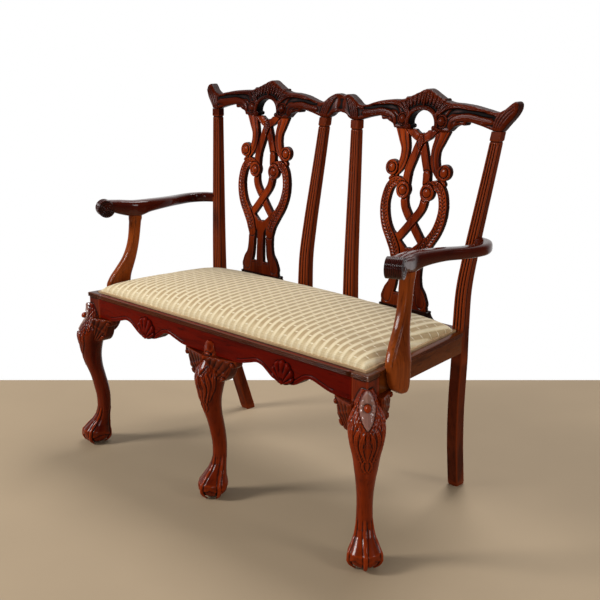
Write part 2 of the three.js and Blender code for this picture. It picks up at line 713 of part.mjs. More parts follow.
place(frameGroup, 'front_leg_middle', middleLeg(), mahogany);
const middleLegRoom = cabriole(middleForward, jointGap);
const middleBracketBlank = mirrorX(bracketBlank(legPost / 2, railBottom));
const middleBracket = cut(middleBracketBlank, [middleLegRoom, mirrorX(middleLegRoom)]);
placePair(frameGroup, 'knee_bracket_middle', middleBracket, mahogany);

// Brace under the seat, from the front rail to the rear rail
const brace = { width: 40, height: 32, tenonReach: 10, tenonHeight: 16, tenonWidth: 24 };
const braceTop = ledge - tenonShoulder / 2;
const braceZ = [braceTop - brace.height, braceTop];
const braceMiddle = braceTop - brace.height / 2;
const braceTenonX = [-brace.tenonWidth / 2, brace.tenonWidth / 2];
const braceTenonZ = [braceMiddle - brace.tenonHeight / 2, braceMiddle + brace.tenonHeight / 2];
const braceTenons = (gap) => [
  bar(braceTenonX, [railThickness - brace.tenonReach, railThickness + overrun], braceTenonZ, gap),
  bar(braceTenonX, [rearRailFront - overrun, rearRailFront + brace.tenonReach], braceTenonZ, gap),
];
place(frameGroup, 'brace_rail', joined([
  bar([-brace.width / 2, brace.width / 2], [railThickness, rearRailFront], braceZ),
  ...braceTenons(0),
]), beech);

// Corner blocks behind the legs, and the screws that hold them
const block = { reach: 62, height: 30, face: 12 };
const blockZ = [ledge - tenonShoulder / 2 - block.height, ledge - tenonShoulder / 2];
const screw = { radius: 2.4, headRadius: 4.4, headHeight: 3, length: 44 };
const screwZ = (blockZ[0] + blockZ[1]) / 2;
const screwAt = (gap = 0) => screwSolid(screw.radius, screw.headRadius, screw.headHeight, screw.length, gap);
const insideX = (y) => sideX(y, railThickness) - jointGap;
const railBackGap = railThickness + jointGap;
const postBackGap = legPost + jointGap;
const postSideGap = frontHalf - legPost - jointGap;
const frontBlockOutline = [
  [postSideGap - block.reach, railBackGap],
  [postSideGap, railBackGap],
  [postSideGap, postBackGap],
  [insideX(postBackGap), postBackGap],
  [insideX(postBackGap + block.reach), postBackGap + block.reach],
  [insideX(postBackGap + block.reach) - block.face, postBackGap + block.reach],
  [postSideGap - block.reach, railBackGap + block.face],
];
const rearBlockY = rearRailFront - jointGap;
const rearBlockOutline = [
  [insideX(rearBlockY - block.reach) - block.face, rearBlockY - block.reach],
  [insideX(rearBlockY - block.reach), rearBlockY - block.reach],
  [insideX(rearBlockY), rearBlockY],
  [insideX(rearBlockY) - block.reach, rearBlockY],
  [insideX(rearBlockY) - block.reach, rearBlockY - block.face],
];
const blockScrewInset = block.reach / 2;
const frontScrewX = postSideGap - blockScrewInset;
const rearScrewX = insideX(rearBlockY) - blockScrewInset;
const screwBite = 18; // how far a screw goes into its rail
const frontScrewTip = railThickness - screwBite;
const rearScrewTip = rearRailFront + screwBite;
const frontScrew = (gap = 0) => (
  reshape(screwAt(gap), (x, y, z) => [x + frontScrewX, z + frontScrewTip, screwZ - y]));
const rearScrew = (gap = 0) => (
  reshape(screwAt(gap), (x, y, z) => [x + rearScrewX, rearScrewTip - z, screwZ + y]));
const frontWell = bar(
  [frontScrewX - screw.headRadius, frontScrewX + screw.headRadius],
  [frontScrewTip + screw.length - screw.headHeight, postBackGap + block.reach + overrun],
  [screwZ - screw.headRadius, screwZ + screw.headRadius],
  jointGap,
);
const rearWell = bar(
  [rearScrewX - screw.headRadius, rearScrewX + screw.headRadius],
  [rearBlockY - block.reach - overrun, rearScrewTip - screw.length + screw.headHeight],
  [screwZ - screw.headRadius, screwZ + screw.headRadius],
  jointGap,
);
const frontBlock = cut(planPrism(frontBlockOutline, ...blockZ), [frontScrew(jointGap), frontWell]);
const rearBlock = cut(planPrism(rearBlockOutline, ...blockZ), [rearScrew(jointGap), rearWell]);
placePair(frameGroup, 'corner_block_front', frontBlock, beech);
placePair(frameGroup, 'corner_block_rear', rearBlock, beech);
placePair(frameGroup, 'corner_block_screw_front', frontScrew(), steel);
placePair(frameGroup, 'corner_block_screw_rear', rearScrew(), steel);
const middleBlockX = [brace.width / 2 + jointGap, brace.width / 2 + block.reach];
const middleBlockY = [railBackGap, railBackGap + block.face * 2];
placePair(frameGroup, 'middle_block', bar(middleBlockX, middleBlockY, blockZ), beech);

// Arms: a loft along the arm's plan, ending in a scroll at the front
const arm = {
  supportX: 492, // settee's middle to the top of an arm support
  supportY: 152, // front rail's face to the same
  underside: 638, // floor to the underside over the support
  width: 40,
  gripRadius: 24,
  gripX: 522,
  gripY: 73,
  gripLift: 32, // that underside to the scroll's centre
  elbowX: 526,
  elbowY: 352,
};
const gripHeight = arm.underside + arm.gripLift;
const armEndY = postCentreY + leanAt(gripHeight);
const armEndX = mix(postX, postTopSpread / 2, leanShare(alongStile(gripHeight))) + post.topWidth / 2;
// Rows run from the grip to the post. Each is which stretch it lies on (grip to support, support to
// elbow, elbow to post), its share of the stretch across and along, the width and thickness in
// shares of the arm's width, and the lift over the grip's centre in shares of the grip's radius
const armStretches = [
  [[arm.gripX, arm.gripY], [arm.supportX, arm.supportY]],
  [[arm.supportX, arm.supportY], [arm.elbowX, arm.elbowY]],
  [[arm.elbowX, arm.elbowY], [armEndX, armEndY]],
];
const armRowShares = [
  [0, 0, -0.15, 0.98, 0.55, 0.55],
  [0, 0, 0, 0.98, 0.72, 0.38],
  [0, 0.55, 0.5, 1.05, 0.9, -0.02],
  [0, 1, 1, 1.08, 1.02, -0.35],
  [1, 0.02, 0.22, 1.05, 0.84, -0.2],
  [1, 0.3, 0.55, 0.98, 0.7, -0.16],
  [1, 0.8, 0.85, 0.9, 0.7, -0.22],
  [2, 0, 0.35, 0.85, 0.7, -0.25],
  [2, 0.38, 0.8, 0.8, 0.7, -0.25],
  [2, 1, 1, 0.62, 0.68, -0.25],
];
const armSides = 12;
const armPower = 3.2; // squareness of the arm's section
const armSteps = 20;
const scrollSides = 14;

function armSolid() {
  const section = ovalRing(armSides, armPower);
  const xyz = smooth(armRowShares.map(([stretch, across, along, , , lift]) => {
    const [from, to] = armStretches[stretch];
    return [mix(from[0], to[0], across), mix(from[1], to[1], along), gripHeight + arm.gripRadius * lift];
  }), armSteps);
  const sizes = smooth(armRowShares.map((row) => [arm.width * row[3], arm.width * row[4], 0]), armSteps);
  const rings = xyz.map(([x, y, z], i) => {
    const [before, after] = [xyz[Math.max(i - 1, 0)], xyz[Math.min(i + 1, xyz.length - 1)]];
    const run = new THREE.Vector2(after[0] - before[0], after[1] - before[1]).normalize();
    const [halfWidth, halfDepth] = [sizes[i][0] / 2, sizes[i][1] / 2];
    return section.map(([a, b]) => [x + run.y * a * halfWidth, y - run.x * a * halfWidth, z + b * halfDepth]);
  });
  const turn = Math.atan2(arm.gripX - arm.supportX, arm.supportY - arm.gripY) / 2;
  const scroll = new THREE.CylinderGeometry(arm.gripRadius, arm.gripRadius, arm.width, scrollSides)
    .rotateZ(Math.PI / 2)
    .rotateZ(turn)
    .translate(arm.gripX, arm.gripY, gripHeight);
  return joined([loft(rings), solidOf(scroll)]);
}

// Arm support: rises from the side rail's outer face to the arm
const support = { flat: 60, footDrop: 68, footWidth: 27, lapDepth: 76, lapShare: 1.2, curve: 1.5, tenon: 20 };
// Rows are height, front and back (in shares of the lap), out from the rail and thickness
const supportHeight = arm.underside - railTop;
const supportRowShares = [
  [-support.footDrop / supportHeight, 0.7, 0.84, 0.45, 0.5],
  [-0.32, 0.5, 0.95, 0.48, 0.9],
  [-0.22, 0.2, 1.0, 0.5, 1],
  [0.02, 0.03, 1.02, 0.5, 1],
  [0.14, 0.14, 1.03, 0.42, 1],
  [0.28, 0.39, 1.09, 0.26, 1],
  [0.45, 0.68, 1.18, 0.1, 0.98],
  [0.67, 0.89, 1.28, 0, 1.04],
  [1, 1, 1.4, -0.1, 1.1],
];
const lapFront = arm.supportY - support.lapDepth * support.lapShare;
const supportTenon = (gap = 0) => {
  const spanX = [arm.supportX - tenonThickness / 2, arm.supportX + tenonThickness / 2];
  const spanY = [arm.supportY - tenonThickness / 2, arm.supportY + tenonThickness / 2];
  return bar(spanX, spanY, [arm.underside - overrun, arm.underside + support.tenon], gap);
};

function supportSolid() {
  const section = ovalRing(armSides, armPower);
  const rings = supportRowShares.map(([up, front, back, out, thick]) => {
    const z = railTop + supportHeight * up;
    const [y0, y1] = [lapFront + support.lapDepth * front, lapFront + support.lapDepth * back];
    const middle = (y0 + y1) / 2;
    const footX = sideX(middle) + support.footWidth * out;
    const x = mix(footX, arm.supportX, clamp(up, 0, 1) ** support.curve);
    const half = support.footWidth * thick / 2;
    return section.map(([a, b]) => [x + a * half, middle + b * (y1 - y0) / 2, z]);
  });
  return loft(rings);
}

const railRoom = joined([
  sideBar([0, railThickness], [legPost - overrun, seatDepth], [sideRailBottom, railTop], jointGap),
  sideBar([-nosingReach, railThickness], [0, seatDepth], [nosingBottom, railTop], jointGap),
  planPrism(cornerPostOutline(jointGap), postBottom, railTop),
]);
const armBlank = armSolid();
const armFlat = bar(
  [arm.supportX - arm.width, arm.supportX + arm.width],
  [arm.supportY - support.flat / 2, arm.supportY + support.flat / 2],
  [arm.underside - arm.width, arm.underside],
);
const armShape = cut(armBlank, [leaned(postSolid(jointGap)), armFlat, supportTenon(jointGap)]);
placePair(frameGroup, 'arm', armShape, mahogany);

// Screws through the side rails into the arm supports
const supportScrewShares = [0.4, 0.8];
const supportScrewY = supportScrewShares.map((share) => lapFront + support.lapDepth * share);
const supportScrewZ = railTop - sideRailHeight / 2;
const sideAngle = Math.atan(sideSlope);
const supportScrewLength = railThickness + support.footWidth / 2;
function supportScrew(y, gap = 0) {
  const tip = support.footWidth / 2;
  const solid = screwSolid(screw.radius, screw.headRadius, screw.headHeight, supportScrewLength, gap);
  return reshape(solid, (a, b, c) => {
    const out = tip - c;
    return [
      sideX(y) + Math.cos(sideAngle) * out - Math.sin(sideAngle) * b,
      y + Math.sin(sideAngle) * out + Math.cos(sideAngle) * b,
      supportScrewZ + a,
    ];
  });
}
const supportScrewRoom = supportScrewY.map((y) => supportScrew(y, jointGap));
placePair(frameGroup, 'arm_support', joined([
  cut(supportSolid(), [railRoom, ...supportScrewRoom]),
  supportTenon(),
]), mahogany);
supportScrewY.forEach((y, i) => {
  placePair(frameGroup, `arm_support_screw_${['front', 'rear'][i]}`, supportScrew(y), steel);
});

// Front, side and rear rails
const frontRailCut = cut(frontRailHalf(), [frontScrew(jointGap)]);
place(frameGroup, 'front_rail', cut(joined([frontRailCut, mirrorX(frontRailCut)]), [
  middleTenon(jointGap),
  braceTenons(jointGap)[0],
]), mahogany);
placePair(frameGroup, 'side_rail', cut(joined([
  sideBar([0, railThickness], [legPost, seatDepth], [sideRailBottom, railTop]),
  sideBar([-nosingReach, lipWidth], [legPost, seatDepth], [nosingBottom, railTop]),
  ...sideTenons(0),
]), [pocket, ...supportScrewRoom]), mahogany);
const sideRailRoom = sideBar([0, railThickness], [legPost, seatDepth], [sideRailBottom, railTop], jointGap);
place(frameGroup, 'rear_rail', cut(joined([
  bar([-postInner, postInner], [rearRailFront, rearRailBack], [railBottom, railTop]),
  rearTenon(0),
  mirrorX(rearTenon(0)),
]), [
  pocket,
  sideRailRoom,
  mirrorX(sideRailRoom),
  stileFootTenon(jointGap),
  mirrorX(stileFootTenon(jointGap)),
  braceTenons(jointGap)[1],
  rearScrew(jointGap),
  mirrorX(rearScrew(jointGap)),
]), mahogany);

// The back
placePair(frameGroup, 'rear_post', cut(leaned(joined([postSolid(), topTenonBar(postTopSpread / 2)])), [
  rearTenon(jointGap),
  sideTenons(jointGap)[1],
]), mahogany);
placePair(frameGroup, 'inner_stile', leaned(stileSolid()), mahogany);
placePair(frameGroup, 'splat', leaned(ontoAxis(splatSolid())), mahogany);
placePair(frameGroup, 'splat_shoe', leaned(ontoAxis(shoeSolid())), mahoganyDark);
const crestSpanY = [seatDepth + crest.setback, seatDepth + crest.setback + crest.thickness];
const crestHalf = cut(frontPrism(crestHalfOutline(), ...crestSpanY), [
  topTenonBar(postTopSpread / 2, jointGap),
  topTenonBar(stileX(1), jointGap),
  ...splatTenons(jointGap).map(ontoAxis),
]);
place(frameGroup, 'crest_rail', leaned(joined([crestHalf, mirrorX(crestHalf)])), mahogany);

// The drop-in seat: frame, webbing, cloths, stuffing and cover, one over the other
const seat = {
  play: 1.2, // cover to the lip
  cover: 1.6, // cover's thickness
  frameWidth: 50,
  frameHeight: 18,
  tenonWidth: 26,
  tenonThickness: 6,
  tenonReach: 20,
  dust: 0.8, // dust cloth's thickness
  strapWidth: 50,
  strap: 1, // webbing's thickness
  baseCloth: 0.8,
  strapInset: 9, // frame's edge to the webbing's end
  rim: 8, // rail top to the cover's edge
  crown: 48, // rail top to the top of the seat
};
const dustZ = ledge + jointGap;
const frameZ = dustZ + seat.dust + jointGap;
const frameTopZ = frameZ + seat.frameHeight;
const longStrapZ = frameTopZ + jointGap;
const crossStrapZ = longStrapZ + seat.strap + jointGap;
const baseClothZ = crossStrapZ + seat.strap + jointGap;
const stuffingZ = baseClothZ + seat.baseCloth + jointGap;
const frameInset = seat.play + seat.cover + jointGap;
const frameFront = lipWidth + frameInset;
const frameBack = seatDepth - frameInset;
const halfAt = (y, inset) => sideX(y, lipWidth + frameInset + inset);
const crossY = [frameFront + seat.frameWidth, frameBack - seat.frameWidth];
const frameMiddleZ = frameZ + seat.frameHeight / 2;
const seatTenonZ = [frameMiddleZ - seat.tenonThickness / 2, frameMiddleZ + seat.tenonThickness / 2];

function seatCrossBar(y0, y1) {
  const points = [[-halfAt(y0, 0), y0], [halfAt(y0, 0), y0], [halfAt(y1, 0), y1], [-halfAt(y1, 0), y1]];
  return planPrism(points, frameZ, frameTopZ);
}
const seatTenonEnds = [
  [crossY[0] - seat.tenonReach, crossY[0] + overrun],
  [crossY[1] - overrun, crossY[1] + seat.tenonReach],
];
const frameSideInset = lipWidth + frameInset;
const seatSideTenon = [
  frameSideInset + (seat.frameWidth - seat.tenonWidth) / 2,
  frameSideInset + (seat.frameWidth + seat.tenonWidth) / 2,
];
const seatSideTenons = (gap) => seatTenonEnds.map((ends) => sideBar(seatSideTenon, ends, seatTenonZ, gap));
const seatMiddleTenonX = [-seat.tenonWidth / 2, seat.tenonWidth / 2];
const seatMiddleTenons = (gap) => seatTenonEnds.map((ends) => bar(seatMiddleTenonX, ends, seatTenonZ, gap));
const seatMortises = (end) => [
  seatSideTenons(jointGap)[end],
  mirrorX(seatSideTenons(jointGap)[end]),
  seatMiddleTenons(jointGap)[end],
];
place(seatGroup, 'seat_frame_front', cut(seatCrossBar(frameFront, crossY[0]), seatMortises(0)), beech);
place(seatGroup, 'seat_frame_rear', cut(seatCrossBar(crossY[1], frameBack), seatMortises(1)), beech);
placePair(seatGroup, 'seat_frame_side', joined([
  sideBar([frameSideInset, frameSideInset + seat.frameWidth], crossY, [frameZ, frameTopZ]),
  ...seatSideTenons(0),
]), beech);
place(seatGroup, 'seat_frame_middle', joined([
  bar([-seat.frameWidth / 2, seat.frameWidth / 2], crossY, [frameZ, frameTopZ]),
  ...seatMiddleTenons(0),
]), beech);

// Webbing: long straps from side to side, and cross straps over them
const longStraps = 3;
const crossStraps = 5;
const strapAt = (i, count) => (i + 0.5) / count; // its middle, as a share of the opening
for (let i = 0; i < longStraps; i += 1) {
  const y = mix(crossY[0], crossY[1], strapAt(i, longStraps));
  const span = [y - seat.strapWidth / 2, y + seat.strapWidth / 2];
  const half = halfAt(span[1], seat.strapInset);
  const strap = bar([-half, half], span, [longStrapZ, longStrapZ + seat.strap]);
  place(seatGroup, `webbing_long_${i + 1}`, strap, jute);
}
for (let i = 0; i < crossStraps; i += 1) {
  const half = halfAt((frameFront + frameBack) / 2, seat.frameWidth);
  const x = mix(-half, half, strapAt(i, crossStraps));
  const spanX = [x - seat.strapWidth / 2, x + seat.strapWidth / 2];
  const spanY = [frameFront + seat.strapInset, frameBack - seat.strapInset];
  const strap = bar(spanX, spanY, [crossStrapZ, crossStrapZ + seat.strap]);
  place(seatGroup, `webbing_cross_${i + 1}`, strap, jute);
}

function clothSheet(inset, z, thickness) {
  return planPrism(pocketOutline(frameInset + inset), z, z + thickness);
}
place(seatGroup, 'dust_cloth', clothSheet(0, dustZ, seat.dust), cambric);
place(seatGroup, 'base_cloth', clothSheet(seat.strapInset - jointGap, baseClothZ, seat.baseCloth), linen);

// The crown is a grid over the pocket, closer at the edges, where it rounds over
const crownColumns = 18;
const crownRows = 10;
const crownPower = 3;
const crownRoundShare = 0.35;
const spread = (i, count) => Math.sin((i / count - 0.5) * Math.PI);
const dome = (share) => Math.max(1 - Math.abs(share) ** crownPower, 0) ** crownRoundShare;
const rimZ = railTop + seat.rim;
const crownZ = railTop + seat.crown;

function crownPoint(column, row, inset, drop) {
  const [across, along] = [spread(column, crownColumns), spread(row, crownRows)];
  const y = mix(lipWidth + inset, seatDepth - inset, (along + 1) / 2);
  return [sideX(y, lipWidth + inset) * across, y, mix(rimZ, crownZ, dome(across) * dome(along)) - drop];
}

// Rings round the grid's edge, in order, so that skins can be closed
function gridEdge(first, columns, rows) {
  const edge = [];
  for (let c = first; c < columns; c += 1) edge.push([c, first]);
  for (let r = first; r < rows; r += 1) edge.push([columns, r]);
  for (let c = columns; c > first; c -= 1) edge.push([c, rows]);
  for (let r = rows; r > first; r -= 1) edge.push([first, r]);
  return edge;
}

function patch(builder, first, columns, rows, pointAt, upwards) {
  for (let c = first; c < columns; c += 1) {
    for (let r = first; r < rows; r += 1) {
      const quad = [[c, r], [c + 1, r], [c + 1, r + 1], [c, r + 1]].map(([a, b]) => builder(pointAt(a, b)));
      const faces = [quad[0], quad[1], quad[2], quad[0], quad[2], quad[3]];
      builder.triangles.push(...(upwards ? faces : faces.reverse()));
    }
  }
}

// Gathers corners by place, so that neighbouring faces share them
function meshBuilder() {
  const places = new Map();
  const add = (point) => {
    const key = point.map((value) => value.toFixed(4)).join(' ');
    if (!places.has(key)) {
      places.set(key, places.size);
      add.positions.push(...point);
    }
    return places.get(key);
  };
  add.positions = [];
  add.triangles = [];
  return add;
}

function band(builder, upper, lower) {
  upper.forEach((point, i) => {
    const next = (i + 1) % upper.length;
    const [a, b] = [builder(point), builder(upper[next])];
    const [c, d] = [builder(lower[next]), builder(lower[i])];
    builder.triangles.push(a, d, c, a, c, b);
  });
}

function coverSolid() {
  const builder = meshBuilder();
  const outer = (c, r) => crownPoint(c, r, seat.play, 0);
  const inner = (c, r) => crownPoint(c, r, seat.play + seat.cover, seat.cover);
  patch(builder, 0, crownColumns, crownRows, outer, true);
  patch(builder, 0, crownColumns, crownRows, inner, false);
  const edge = gridEdge(0, crownColumns, crownRows);
  const outerEdge = edge.map(([c, r]) => outer(c, r));
  const innerEdge = edge.map(([c, r]) => inner(c, r));
  const hem = (points) => points.map(([x, y]) => [x, y, frameZ]);
  band(builder, outerEdge, hem(outerEdge));
  band(builder, hem(outerEdge), hem(innerEdge));
  band(builder, hem(innerEdge), innerEdge);
  return solidFrom(builder.positions, builder.triangles);
}

function stuffingSolid() {
  const builder = meshBuilder();
  const drop = seat.cover + jointGap;
  const top = (c, r) => crownPoint(c, r, seat.play + seat.cover, drop);
  const [lastColumn, lastRow] = [crownColumns - 1, crownRows - 1];
  patch(builder, 1, lastColumn, lastRow, top, true);
  const edge = gridEdge(1, lastColumn, lastRow).map(([c, r]) => top(c, r));
  const foot = edge.map(([x, y]) => [x, y, stuffingZ]);
  band(builder, edge, foot);
  const shape = foot.map(([x, y]) => new THREE.Vector2(x, y));
  for (const [a, b, c] of THREE.ShapeUtils.triangulateShape(shape, [])) {
    builder.triangles.push(...[c, b, a].map((i) => builder(foot[i])));
  }
  return solidFrom(builder.positions, builder.triangles);
}

place(seatGroup, 'seat_stuffing', stuffingSolid(), linen);
place(seatGroup, 'seat_cover', coverSolid(), striped);

// Centre the whole in plan; it already stands on z = 0
settee.updateMatrixWorld(true);
const reach = new THREE.Box3().setFromObject(settee);
settee.position.set(-(reach.min.x + reach.max.x) / 2, -(reach.min.y + reach.max.y) / 2, -reach.min.z);

export default settee;
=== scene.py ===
# A carved mahogany settee with two pierced backs and a drop-in seat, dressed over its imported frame.
# Shapes are worked out in millimetres, as the maker measures them, and put down in metres at the end.
import math

import bpy
import numpy as np
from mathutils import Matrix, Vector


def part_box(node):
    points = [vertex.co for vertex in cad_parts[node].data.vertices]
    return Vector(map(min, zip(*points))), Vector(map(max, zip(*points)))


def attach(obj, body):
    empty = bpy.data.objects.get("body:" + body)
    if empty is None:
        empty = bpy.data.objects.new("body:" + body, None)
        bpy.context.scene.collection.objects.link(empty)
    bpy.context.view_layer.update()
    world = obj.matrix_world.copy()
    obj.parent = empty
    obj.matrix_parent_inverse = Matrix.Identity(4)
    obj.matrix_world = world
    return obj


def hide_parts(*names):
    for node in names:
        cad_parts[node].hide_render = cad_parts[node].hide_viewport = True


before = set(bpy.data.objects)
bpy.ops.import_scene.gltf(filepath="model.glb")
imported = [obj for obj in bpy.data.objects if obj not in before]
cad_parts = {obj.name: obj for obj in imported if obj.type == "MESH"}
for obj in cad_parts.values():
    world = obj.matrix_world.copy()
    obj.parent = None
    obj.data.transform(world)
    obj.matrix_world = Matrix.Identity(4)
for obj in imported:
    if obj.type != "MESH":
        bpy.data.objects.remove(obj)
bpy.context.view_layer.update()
print("frame loaded,", len(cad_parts), "nodes")

settee = {
    "toMiddle": 232.372,  # front rail's face to the middle of the settee
    "frontWidth": 1026, "rearWidth": 923, "seatDepth": 408,
    "railTop": 445, "railHeight": 66, "sideRailHeight": 54, "railThickness": 34,
    "lipWidth": 14, "rebate": 16, "nosing": 12, "nosingReach": 3.5, "legPost": 46,
    "stileLength": 480, "backLean": 49.5, "crestRise": 88, "crestRoll": 12, "tenonShoulder": 8,
    "topSpread": 990, "stileFootSpread": 169, "stileTopSpread": 113,
}
jointGap = 0.3  # between two pieces that meet
frontHalf, rearHalf = settee["frontWidth"] / 2, settee["rearWidth"] / 2
railTop, seatDepth, lipWidth = settee["railTop"], settee["seatDepth"], settee["lipWidth"]
legPost, railThickness = settee["legPost"], settee["railThickness"]
railBottom = railTop - settee["railHeight"]
sideRailBottom = railTop - settee["sideRailHeight"]
ledge = railTop - settee["rebate"]
nosingBottom = railTop - settee["nosing"]
stileTop = railTop + settee["stileLength"]
crestPeak = stileTop + settee["crestRise"]
crestJoint = stileTop + settee["tenonShoulder"]
sideSlope = (frontHalf - rearHalf) / seatDepth
sideSecant = math.hypot(1, sideSlope)
sides = (("right", 1), ("left", -1))


def sideX(y, inset=0):  # the settee's slanted side at a depth, moved in square to itself
    return frontHalf - sideSlope * y - inset * sideSecant


def mixed(a, b, share):
    return a + (b - a) * share


def throughPoints(points, steps):  # a smooth curve through points of any number of values
    points = np.array(points, float)
    ends = np.vstack([2 * points[0] - points[1], points, 2 * points[-1] - points[-2]])
    at = np.linspace(0, len(points) - 1, steps + 1)
    first = np.minimum(at.astype(int), len(points) - 2)
    w = (at - first)[:, None]
    a, b, c, d = (ends[first + k] for k in range(4))
    spans = ((a, b), (b, c), (c, d))
    g, h, k = (np.maximum(np.sum((q - p) ** 2, 1)[:, None] ** 0.25, 1e-4) for p, q in spans)
    leave = ((b - a) / g - (c - a) / (g + h) + (c - b) / h) * h
    arrive = ((c - b) / h - (d - b) / (h + k) + (d - c) / k) * h
    return b + leave * w + (3 * (c - b) - 2 * leave - arrive) * w**2 + (2 * (b - c) + leave + arrive) * w**3


def readTable(share, table, columns=(1, 2, 3)):  # values of a table at a share of its length
    return [np.interp(share, table[:, 0], table[:, k]) for k in columns]


# The back leans and spreads little above the rail, and more as it rises
leanCurve = throughPoints([[0, 0], [0.2, 0.05], [0.4, 0.25], [0.6, 0.5], [0.8, 0.755], [1, 1], [1.25, 1.31]], 90)


def leanShare(share):
    return np.interp(share, leanCurve[:, 0], leanCurve[:, 1])


def leanAt(z):
    roll = np.maximum(z - crestJoint, 0) / (crestPeak - crestJoint)
    share = leanShare(np.maximum(z - railTop, 0) / settee["stileLength"])
    return settee["backLean"] * share + settee["crestRoll"] * roll**2


def leaned(points):
    return points + np.stack([0 * points[:, 0], leanAt(points[:, 2]), 0 * points[:, 0]], 1)


def ease(low, high, value):  # 0 below low, 1 above high, and smooth between
    t = np.clip((value - low) / (high - low), 0, 1)
    return t * t * (3 - 2 * t)


def hump(value, width):  # a soft ridge across a line
    return np.exp(-((value / width) ** 2))


def domed(apart, radius=1):  # the height of a half circle of height 1
    return np.sqrt(np.clip(1 - (apart / radius) ** 2, 0, 1))


def rounded(inside, radius):  # how far a rounded edge falls away
    near = np.clip(inside, 0, radius)
    return radius - np.sqrt(np.maximum(radius**2 - (radius - near) ** 2, 0))


def largest(*fields):  # what lies inside all of them
    return largest(np.maximum(fields[0], fields[1]), *fields[2:]) if len(fields) > 1 else fields[0]


def softMin(a, b, blend):
    h = np.maximum(blend - np.abs(a - b), 0) / blend
    return np.minimum(a, b) - h * h * blend / 4


def nearLine(places, line, margin=40):  # distance to a line, where along it, and on which side
    far = 1e6
    flat = np.stack([np.asarray(p, float).ravel() for p in places], 1)
    best, at, side = np.full(len(flat), far), np.zeros(len(flat)), np.ones(len(flat))
    near = np.all((flat > line.min(0) - margin) & (flat < line.max(0) + margin), 1)
    spots = flat[near]
    nearest, where, hand = np.full(len(spots), far), np.zeros(len(spots)), np.ones(len(spots))
    for i, (start, run) in enumerate(zip(line[:-1], np.diff(line, axis=0))):
        off = spots - start
        t = np.clip(off @ run / max(run @ run, 1e-9), 0, 1)
        gap = off - t[:, None] * run
        apart = np.einsum("ij,ij->i", gap, gap)
        closer = apart < nearest
        nearest[closer], where[closer] = apart[closer], i + t[closer]
        hand[closer] = np.sign(run[0] * off[closer, 1] - run[1] * off[closer, 0])
    best[near], at[near], side[near] = np.sqrt(nearest), where, hand
    return [values.reshape(np.shape(places[0])) for values in (best, at, side)]


def strap(a, b, rows, steps=8):  # a carved stroke; rows are two places and a half width
    line = throughPoints(rows, (len(rows) - 1) * steps)
    apart, at, side = nearLine([a, b], line[:, :2])
    count = np.arange(len(line))
    half = np.interp(at, count, line[:, 2])
    lengths = np.r_[0, np.cumsum(np.hypot(*np.diff(line[:, :2], axis=0).T))]
    return {"inside": half - apart, "across": side * apart / half, "half": half,
            "run": np.interp(at, count, lengths), "length": lengths[-1]}


def insideOutline(a, b, outline):  # distance to a closed outline, positive inside it
    closed = np.vstack([outline, outline[:1]])
    apart = nearLine([a, b], closed, 60)[0]
    within = np.zeros(np.shape(a), bool)
    for (x0, y0), (x1, y1) in zip(closed[:-1], closed[1:]):
        if y0 != y1:
            within ^= ((b < y0) != (b < y1)) & (a < x0 + (b - y0) * (x1 - x0) / (y1 - y0))
    return np.where(within, apart, -apart)


def skinOf(field, low, step):  # a closed skin where the field turns from negative to positive
    low, step = np.array(low, float), np.array(step, float) * np.ones(3)
    inner = field < 0
    cells = np.array(field.shape) - 1
    total, count, faces = np.zeros((cells.prod(), 3)), np.zeros(cells.prod()), []
    stride = np.array([cells[1] * cells[2], cells[2], 1])
    for a, b, c in ((0, 1, 2), (1, 2, 0), (2, 0, 1)):
        first, last = [slice(None)] * 3, [slice(None)] * 3
        first[a], last[a] = slice(0, -1), slice(1, None)
        spots = np.argwhere(inner[tuple(first)] != inner[tuple(last)])
        ahead = spots.copy()
        ahead[:, a] += 1
        near, far = field[tuple(spots.T)], field[tuple(ahead.T)]
        place = spots.astype(float)
        place[:, a] += near / (near - far)
        corners = []
        for db, dc in ((-1, -1), (0, -1), (0, 0), (-1, 0)):
            cell = spots.copy()
            cell[:, b] += db
            cell[:, c] += dc
            corner = cell @ stride
            corners.append(corner)
            count += np.bincount(corner, minlength=len(count))
            for axis in range(3):
                total[:, axis] += np.bincount(corner, place[:, axis], len(count))
        quads = np.stack(corners, 1)
        quads[near > far] = quads[near > far][:, ::-1]
        faces.append(quads)
    used = np.flatnonzero(count)
    order = np.full(len(count), -1)
    order[used] = np.arange(len(used))
    points = total[used] / count[used][:, None] * step + low
    return points, order[np.vstack(faces)]


def fieldOver(low, high, step):
    axes = [np.arange(a, b + step, step) for a, b in zip(low, high)]
    return [a[0] for a in axes], (axes[0][:, None, None], axes[1][None, :, None], axes[2][None, None, :])


def relaxed(points, faces, rounds, share=0.5):
    pairs = np.vstack([np.stack([faces[:, k], faces[:, (k + 1) % faces.shape[1]]], 1) for k in range(faces.shape[1])])
    ways = (pairs, pairs[:, ::-1])
    count = np.maximum(sum(np.bincount(pair[:, 0], minlength=len(points)) for pair in ways), 1)
    moved = points.copy()
    for _ in range(rounds):
        mean = [sum(np.bincount(a, moved[b, k], len(points)) for a, b in (pair.T for pair in ways)) for k in range(3)]
        moved = moved + (np.stack(mean, 1) / count[:, None] - moved) * share
    return moved


def normalsOf(points, faces):
    face = np.cross(points[faces[:, 2]] - points[faces[:, 0]], points[faces[:, -1]] - points[faces[:, 1]])
    out = np.zeros_like(points)
    for k in range(faces.shape[1]):
        for axis in range(3):
            out[:, axis] += np.bincount(faces[:, k], face[:, axis], len(points))
    return out / np.maximum(np.linalg.norm(out, axis=1), 1e-9)[:, None]


def hollowsOf(points, faces, rounds=10):  # how deep a point lies under its surroundings, in millimetres
    normals = normalsOf(points, faces)
    near, wide = (
        np.einsum("ij,ij->i", relaxed(points, faces, times) - points, normals) for times in (rounds, rounds * 5)
    )
    return np.clip(near * 1.1 + wide * 0.45, -4, 4)


